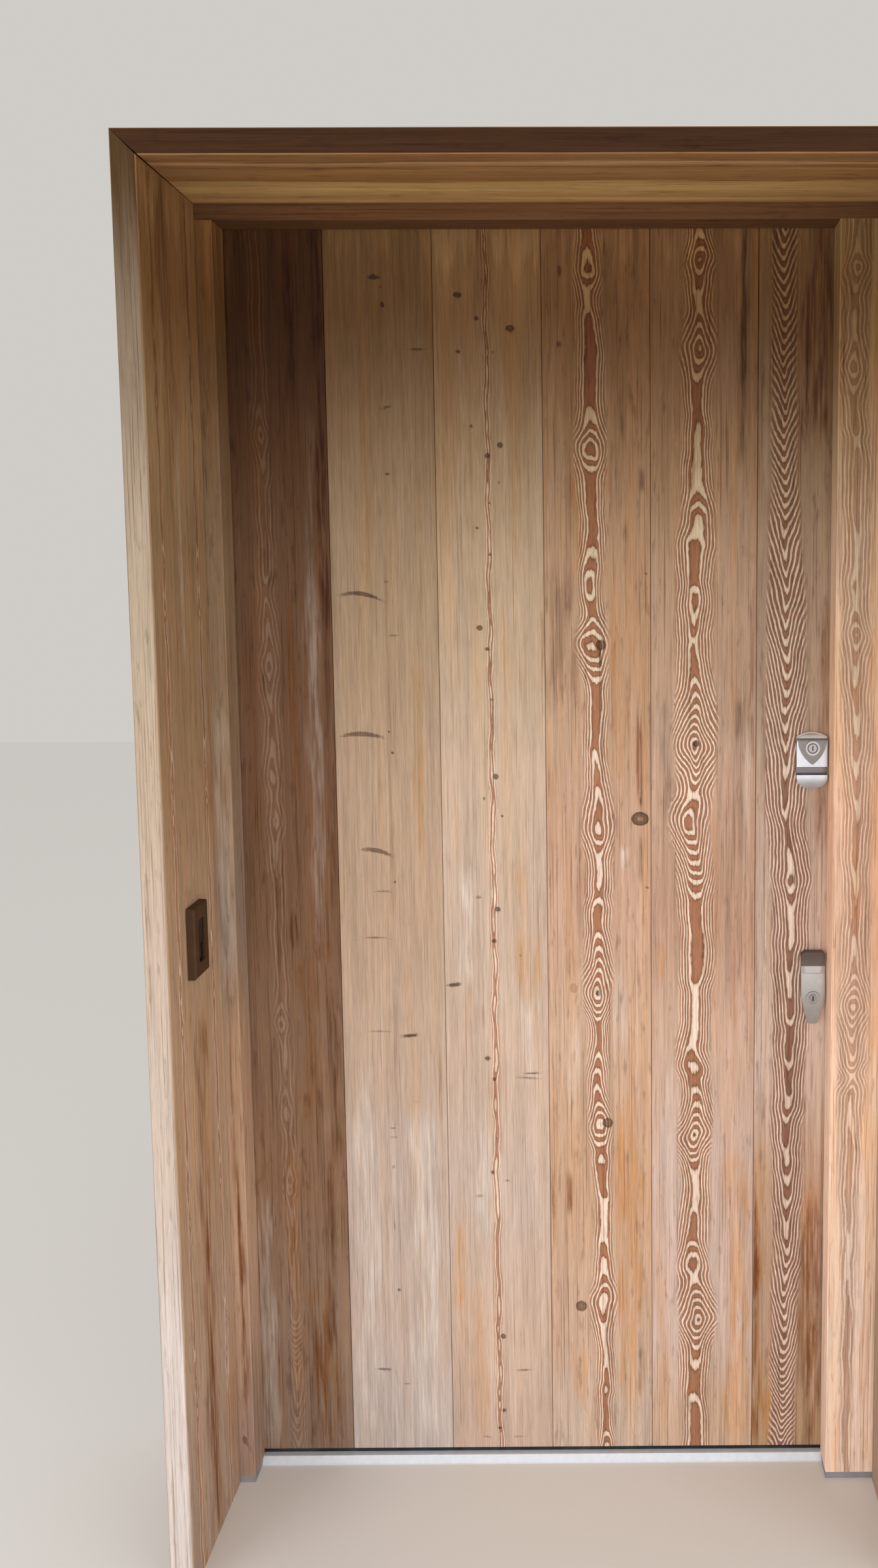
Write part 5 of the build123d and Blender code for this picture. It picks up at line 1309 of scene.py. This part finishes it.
POST_FIGURE = Column(
    line=((2110, 520), (2030, 516), (1880, 512), (1700, 522), (1450, 522), (1200, 528), (900, 528),
          (600, 524), (18, 524)),
    rings=(
        (2110, 1.0), (2060, 0.75), (2045, 0.25), (2030, -0.9), (2012, 0.25), (2000, 0.75), (1980, 1.25),
        (1960, 0.75), (1930, 0.8), (1910, 0.25), (1895, -0.3), (1878, -1.0), (1860, 0.0), (1845, 0.75),
        (1820, 1.25), (1780, 1.0), (1765, 1.75), (1740, 1.25), (1640, 1.25), (1600, 1.75), (1560, 1.75),
        (1530, 1.4), (1500, 1.75), (1470, 0.75), (1455, -0.25), (1440, 0.5), (1420, 1.25), (1380, 1.75),
        (1350, 2.25), (1300, 2.75), (1200, 4.25), (1150, 5.0), (1090, 5.25), (1040, 5.75), (980, 6.25),
        (950, 5.75), (900, 5.25), (870, 3.75), (835, 1.5), (800, 4.0), (740, 6.0), (720, 8.0), (690, 6.0),
        (600, 5.25), (500, 5.25), (400, 5.75), (300, 5.25), (18, 5.25),
    ),
    core=((2110, 5), (18, 5)),
    pitch=((2110, 5.0), (1200, 4.2), (600, 4.2), (18, 5.0)),
    reach=((2110, 22), (1500, 24), (700, 24), (400, 12), (18, 8)),
    strength=0.6,
)


def lining_figure(y: float, turn: int) -> Column:
    """Describes a narrow chain of ovals up a lining board.

    Args:
        y: where its middle lies, in mm.
        turn: how its ovals differ in length and tone from one to the next.

    Returns:
        The figure.
    """
    top, foot = 2130, 18
    ovals, length, uneven = 66, 31, 9
    return Column(
        line=((top, y), (1100, y + 2), (foot, y - 1)),
        rings=tuple((top - length * i - uneven * (i * turn % 3), 0.75 + 0.5 * (i % 2) + 0.1 * (i * turn % 5))
                    for i in range(ovals)),
        core=((top, 3.0), (foot, 3.0)),
        pitch=((top, 4.0), (foot, 4.0)),
        reach=((top, 4), (900, 6), (foot, 6)),
        strength=0.55,
        fade=4.0,
    )


# The door's sub-assemblies


@dataclass
class Frame:
    """The frame, its lining boards and the pads under the posts."""

    post_figure: Column = POST_FIGURE
    lining_figures: tuple[Column, ...] = (lining_figure(-213.0, 2), lining_figure(-88.0, 7))
    pads: tuple[str, ...] = ("sill_block_left", "sill_block_right")

    def posts(self) -> None:
        """Builds the two posts with their own figure."""
        right = Timber("larch_right_post", POST_TONES_WITH_PAINTED_LIGHT, figured=True, seed=61.0, back=INSIDE_TONES)
        FiguredFace(
            "frame_jamb_right", "frame", "frame_timber", right, (self.post_figure,),
            stains=stains(amber=((505, 16, 700, 20, 0.3), (530, 8, 1380, 1330, 0.5), (528, 5, 1110, 970, 0.8),
                                 (560, 12, 2110, 20, 0.35))),
        ).build()
        left = Timber("larch_left_post", FRAME_TONES_WITH_PAINTED_LIGHT, figured=True, seed=71.0, warmth=0.3, back=INSIDE_TONES)
        FiguredFace(
            "frame_jamb_left", "frame", "frame_timber", left,
            marks=marks((-506, 78, 5, 8, 0, 0.6), (-500, 66, 2, 14, 20, 0.5)),
            stains=stains(umber=((-501, 3, 560, 150, 0.9), (-506, 1.5, 900, 500, 0.5)),
                          bleach=((-506, 14, 1330, 900, 0.12),)),
        ).build()

    def linings(self) -> None:
        """Builds the left lining board with its own figure and dresses the others."""
        left = Timber("larch_left_lining", LINING_TONES_WITH_PAINTED_LIGHT, figured=True, seed=91.0, front=STREET_TONES_WITH_PAINTED_SHADE)
        FiguredFace(
            "casing_left", "frame", "lining_timber", left, self.lining_figures,
            stains=stains(
                umber=((-150, 5, 560, 20, 0.7), (-170, 22, 2130, 1700, 0.35), (-150, 24, 860, 20, 0.45),
                       (-64, 6, 1500, 900, 0.25)),
                amber=((-80, 14, 1260, 1140, 0.5), (-80, 16, 220, 90, 0.5), (-120, 12, 900, 500, 0.3)),
                bleach=((-150, 6, 1800, 1440, 0.25), (-88, 5, 420, 200, 0.5)),
            ),
            facing=(1.0, 0.0, 0.0), across=1,
        ).build()
        right = Timber("larch_right_lining", LINING_TONES_WITH_PAINTED_LIGHT, seed=97.0, front=STREET_TONES_WITH_PAINTED_SHADE)
        head = Timber("larch_head_lining", SOFFIT_TONES, Grain.LEVEL, seed=103.0, porch_shade_painted=False,
                      bands=SOFFIT_BANDS_WITH_PAINTED_LIGHT, front=SOFFIT_FRONT_WITH_PAINTED_SHADE)
        paint("casing_right", right.material())
        paint("casing_head", head.material())

    def build(self) -> None:
        """Builds and dresses the posts, the head, the linings and the pads."""
        self.posts()
        self.linings()
        head = Timber("larch_head", HEAD_TONES_WITH_PAINTED_SHADE, Grain.LEVEL, seed=83.0, porch_shade_painted=False, back=INSIDE_TONES)
        paint("frame_head", head.material())
        pad = SILL_PAD.material()
        for name in self.pads:
            paint(name, pad)
        log.info("frame, linings and pads dressed")


@dataclass
class Leaf:
    """The leaf: its outer boards, the framing behind them and the boards of the inside panels."""

    stiles: tuple[str, ...] = ("stile_hinge", "stile_lock")
    rails: tuple[str, ...] = ("rail_top", "rail_middle", "rail_bottom")
    panels: tuple[str, ...] = ("inner_boards_upper", "inner_boards_lower")
    insulation: tuple[str, ...] = ("insulation_upper", "insulation_lower")

    def build(self) -> None:
        """Builds the six figured boards and dresses the rest."""
        for face in BOARDS:
            face.build()
        oiled = {"porch_shade_painted": False, "roughness": 0.5}
        stile = Timber("oiled_larch_stile", INSIDE_TONES, seed=113.0, **oiled)
        rail = Timber("oiled_larch_rail", INSIDE_TONES, Grain.LEVEL, seed=127.0, **oiled)
        panel = Timber("oiled_larch_panel", PANEL_TONES, seed=131.0, **oiled)
        for names, finish in ((self.stiles, stile), (self.rails, rail), (self.panels, panel),
                              (self.insulation, INSULATION)):
            material = finish.material()
            for name in names:
                paint(name, material)
        log.info("framing, panels and insulation dressed")


@dataclass
class Metalwork:
    """Locks, hinges, sill and bell."""

    finishes: tuple[tuple[Metal | Moulding, tuple[str, ...]], ...] = (
        (PULL_CHROME, ("latch_pull_plate",)),
        (ESCUTCHEON_CHROME, ("deadlock_escutcheon",)),
        (SATIN_CHROME, ("deadlock_rose", "deadlock_thumbturn", "latch_knob", "latch_snib")),
        (CYLINDER_CHROME, ("latch_cylinder", "deadlock_cylinder")),
        (PLUG_CHROME, ("latch_plug", "deadlock_plug")),
        (LOCK_STEEL, ("latch_bolt", "deadbolt", "deadlock_case", "strike_plate")),
        (HINGE_STEEL, tuple(f"hinge_{half}_flap_{place}" for half in ("frame", "door")
                            for place in ("top", "middle", "bottom"))),
        (RIM_ENAMEL, ("latch_case", "latch_keep")),
        (SILL_ALUMINIUM, ("threshold",)),
        (SEAL_RUBBER, ("threshold_seal", "frame_seal")),
        (BELL_MOULDING, ("bell_housing",)),
        (BELL_LENS, ("bell_window", "bell_button")),
    )

    def build(self) -> None:
        """Dresses each node with its finish."""
        for finish, names in self.finishes:
            material = finish.material()
            for name in names:
                paint(name, material)
            log.info("%s: %s", finish.name, ", ".join(names))


@dataclass
class Screws:
    """Countersunk screw heads with a cross slot, in the hinge flaps, the strike, the forend and the keep."""

    radius: float = 3.6
    proud: float = 0.35
    sunk: float = 0.5
    taper: float = 0.84
    slot: Place = (4.4, 0.9, 0.6)
    leaf_gap: float = 4.0
    flap_rows: tuple[tuple[float, float], ...] = ((12.2, 39.0), (29.2, 14.0), (29.2, -14.0), (12.2, -39.0))
    strike_end: float = 9.0
    forend_end: float = 8.0
    keep_end: float = 13.0
    keep_edge: float = 10.0
    sides: int = 32
    upward: float = 0.9
    spin: int = 37

    def head(self) -> bpy.types.Object:
        """Models one head at the origin, facing up: a low cylinder with a tapered rim and a cross slot.

        Returns:
            The head.
        """
        bpy.ops.object.select_all(action="DESELECT")
        bpy.ops.mesh.primitive_cylinder_add(
            vertices=self.sides, radius=self.radius * MM, depth=(self.proud + self.sunk) * MM,
            location=(0, 0, (self.proud - self.sunk) / 2 * MM))
        head = bpy.context.active_object
        bpy.ops.object.transform_apply()
        for face in head.data.polygons:
            face.select = face.normal.z > self.upward
        bpy.ops.object.mode_set(mode="EDIT")
        bpy.ops.transform.resize(value=(self.taper, self.taper, 1), center_override=(0, 0, self.proud * MM))
        bpy.ops.object.mode_set(mode="OBJECT")
        for turned in (0.0, 90.0):
            bpy.ops.mesh.primitive_cube_add(size=1, location=(0, 0, self.proud * MM),
                                            rotation=(0, 0, math.radians(turned)))
            cutter = bpy.context.active_object
            cutter.scale = [length * MM for length in self.slot]
            bpy.ops.object.transform_apply()
            only(head)
            cut = head.modifiers.new("slot", "BOOLEAN")
            cut.operation = "DIFFERENCE"
            cut.object = cutter
            bpy.ops.object.modifier_apply(modifier=cut.name)
            bpy.data.objects.remove(cutter)
        return head

    def row(self, name: str, body: str, slot: str, material: bpy.types.Material, facing: tuple[int, int, int],
            places: list[Place]) -> bpy.types.Object:
        """Sets heads in a row and joins them to one piece.

        Args:
            name: the piece's name.
            body: the body that it rides.
            slot: the name of its material slot in the record; not used.
            material: its finish.
            facing: where the heads look.
            places: the middle of each head's seat, in mm.

        Returns:
            The finished piece.
        """
        first = self.head()
        first.name = name
        heads = [first]
        for _ in places[1:]:
            only(first)
            bpy.ops.object.duplicate()
            heads.append(bpy.context.active_object)
        turn = Vector(facing).to_track_quat("Z", "Y").to_matrix().to_4x4()
        for index, (head, place) in enumerate(zip(heads, places)):
            # Each slot was left at its own angle by the hand that drove the screw.
            spin = Matrix.Rotation(math.radians(self.spin * index % 90), 4, "Z")
            head.matrix_world = Matrix.Translation(Vector(place) * MM) @ turn @ spin
        bpy.ops.object.select_all(action="DESELECT")
        for head in heads:
            head.select_set(True)
        bpy.context.view_layer.objects.active = first
        bpy.ops.object.join()
        bpy.ops.object.transform_apply()
        bpy.ops.object.shade_smooth_by_angle(angle=SMOOTH_ANGLE)
        first.data.materials.append(material)
        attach(first, body)
        return first

    def ends(self, node: str, x: float, y: float, inset: float) -> list[Place]:
        """Places two screws near the ends of an upright plate.

        Args:
            node: the plate.
            x: the screws' x, in mm.
            y: their y, in mm.
            inset: how far they stand from its ends, in mm.

        Returns:
            The places, in mm.
        """
        return [(x, y, side(node, 0, 2) + inset), (x, y, side(node, 1, 2) - inset)]

    def build(self) -> None:
        """Sets every row of heads."""
        steel, zinc = HINGE_STEEL.material(), LOCK_STEEL.material()
        for body, facing in (("frame", 1), ("door", -1)):
            places = []
            for level in ("bottom", "middle", "top"):
                flap = f"hinge_frame_flap_{level}"
                seat = centre(flap, 0) - facing * self.leaf_gap / 2
                edge, height = side(flap, 0, 1), centre(flap, 2)
                places += [(seat, edge + dy, height + dz) for dy, dz in self.flap_rows]
            self.row(f"hinge_{body}_screws", body, "hinge_steel", steel, (facing, 0, 0), places)
        strike = self.ends("strike_plate", side("strike_plate", 0, 0), centre("strike_plate", 1),
                           self.strike_end)
        forend = self.ends("deadlock_case", side("deadlock_case", 1, 0), centre("deadlock_case", 1),
                           self.forend_end)
        keep = self.ends("latch_keep", side("latch_keep", 1, 0) - self.keep_edge, side("latch_keep", 1, 1),
                         self.keep_end)
        self.row("strike_screws", "frame", "lock_steel", zinc, (-1, 0, 0), strike)
        self.row("forend_screws", "door", "lock_steel", zinc, (1, 0, 0), forend)
        self.row("keep_screws", "frame", "lock_steel", zinc, (0, 1, 0), keep)
        log.info("screw heads set")


@dataclass
class Studio:
    """Floor, lights and the camera, which stands where the photograph was taken."""

    eye: Place = (147.408, -1765.072, 1560.418)
    yaw: float = 0.004
    pitch: float = 0.084
    roll: float = -0.004
    lens: float = 24.532
    shift: tuple[float, float] = (-0.12, -0.0791)
    floor_size: float = 16.0
    backdrop: str = "#cfccc7"
    sky: float = 0.72
    # Name, place and aim in metres, side in metres and power in watts.
    lamps: tuple[tuple[str, Place, Place, float, float], ...] = (
        ("left", (-3.2, -2.8, 1.5), (0, 0, 1.1), 2.6, 38),
        ("right", (3.2, -2.8, 1.5), (0, 0, 1.1), 2.6, 38),
        ("low", (0.1, -3.2, 0.6), (0, 0, 1.2), 2.4, 34),
    )

    def floor(self) -> None:
        """Lays the floor."""
        bpy.ops.object.select_all(action="DESELECT")
        bpy.ops.mesh.primitive_plane_add(size=self.floor_size, location=(0, 0, 0))
        floor = bpy.context.active_object
        floor.name = "studio_floor"
        floor.data.materials.append(FLOOR_PAINT.material())

    def surroundings(self) -> None:
        """Adds an even white sky, which shows as the backdrop's colour where it is seen itself."""
        world = bpy.data.worlds.new("studio")
        world.use_nodes = True
        tree = world.node_tree
        tree.nodes.clear()
        path = add(tree, "LightPath").outputs
        seen = path["Is Camera Ray"]
        for kind in ("Is Glossy Ray", "Is Transmission Ray"):
            seen = add(tree, "Math", {0: seen, 1: path[kind]}, operation="MAXIMUM").outputs[0]
        light = add(tree, "Background", {"Color": "#ffffff", "Strength": self.sky}).outputs[0]
        shown = add(tree, "Background", {"Color": self.backdrop, "Strength": 1.0}).outputs[0]
        both = add(tree, "MixShader", {0: seen, 1: light, 2: shown}).outputs[0]
        add(tree, "OutputWorld", {"Surface": both})
        bpy.context.scene.world = world

    def lamp(self, name: str, place: Place, aim: Place, size: float, power: float) -> None:
        """Adds one soft square lamp.

        Args:
            name: its name.
            place: where it hangs, in metres.
            aim: what it points at, in metres.
            size: its side, in metres.
            power: its power, in watts.
        """
        data = bpy.data.lights.new(name, "AREA")
        data.size = size
        data.energy = power
        lamp = bpy.data.objects.new(name, data)
        lamp.location = place
        lamp.rotation_euler = (Vector(aim) - Vector(place)).to_track_quat("-Z", "Y").to_euler()
        bpy.context.scene.collection.objects.link(lamp)

    def camera(self) -> None:
        """Adds the camera."""
        data = bpy.data.cameras.new("camera")
        data.lens = self.lens
        data.shift_x, data.shift_y = self.shift
        data.clip_start = 0.01
        ahead = Vector((math.sin(self.yaw) * math.cos(self.pitch), math.cos(self.yaw) * math.cos(self.pitch),
                        -math.sin(self.pitch)))
        level = ahead.cross(Vector((0, 0, 1))).normalized()
        above = level.cross(ahead)
        right = math.cos(self.roll) * level + math.sin(self.roll) * above
        turn = Matrix((right, right.cross(ahead), -ahead)).transposed()
        camera = bpy.data.objects.new("camera", data)
        camera.matrix_world = Matrix.Translation(Vector(self.eye) * MM) @ turn.to_4x4()
        bpy.context.scene.collection.objects.link(camera)
        bpy.context.scene.camera = camera

    def build(self) -> None:
        """Adds the floor, the sky, the lamps and the camera."""
        self.floor()
        self.surroundings()
        for lamp in self.lamps:
            self.lamp(*lamp)
        self.camera()
        bpy.context.scene.view_settings.view_transform = "Standard"
        log.info("studio set")


def main() -> None:
    """Builds every part of the door in order."""
    logging.basicConfig(level=logging.INFO, format="%(message)s")
    for part in (Studio(), Leaf(), Frame(), Metalwork(), Screws()):
        part.build()
    log.info("sizes written")


if __name__ == "__main__":
    main()
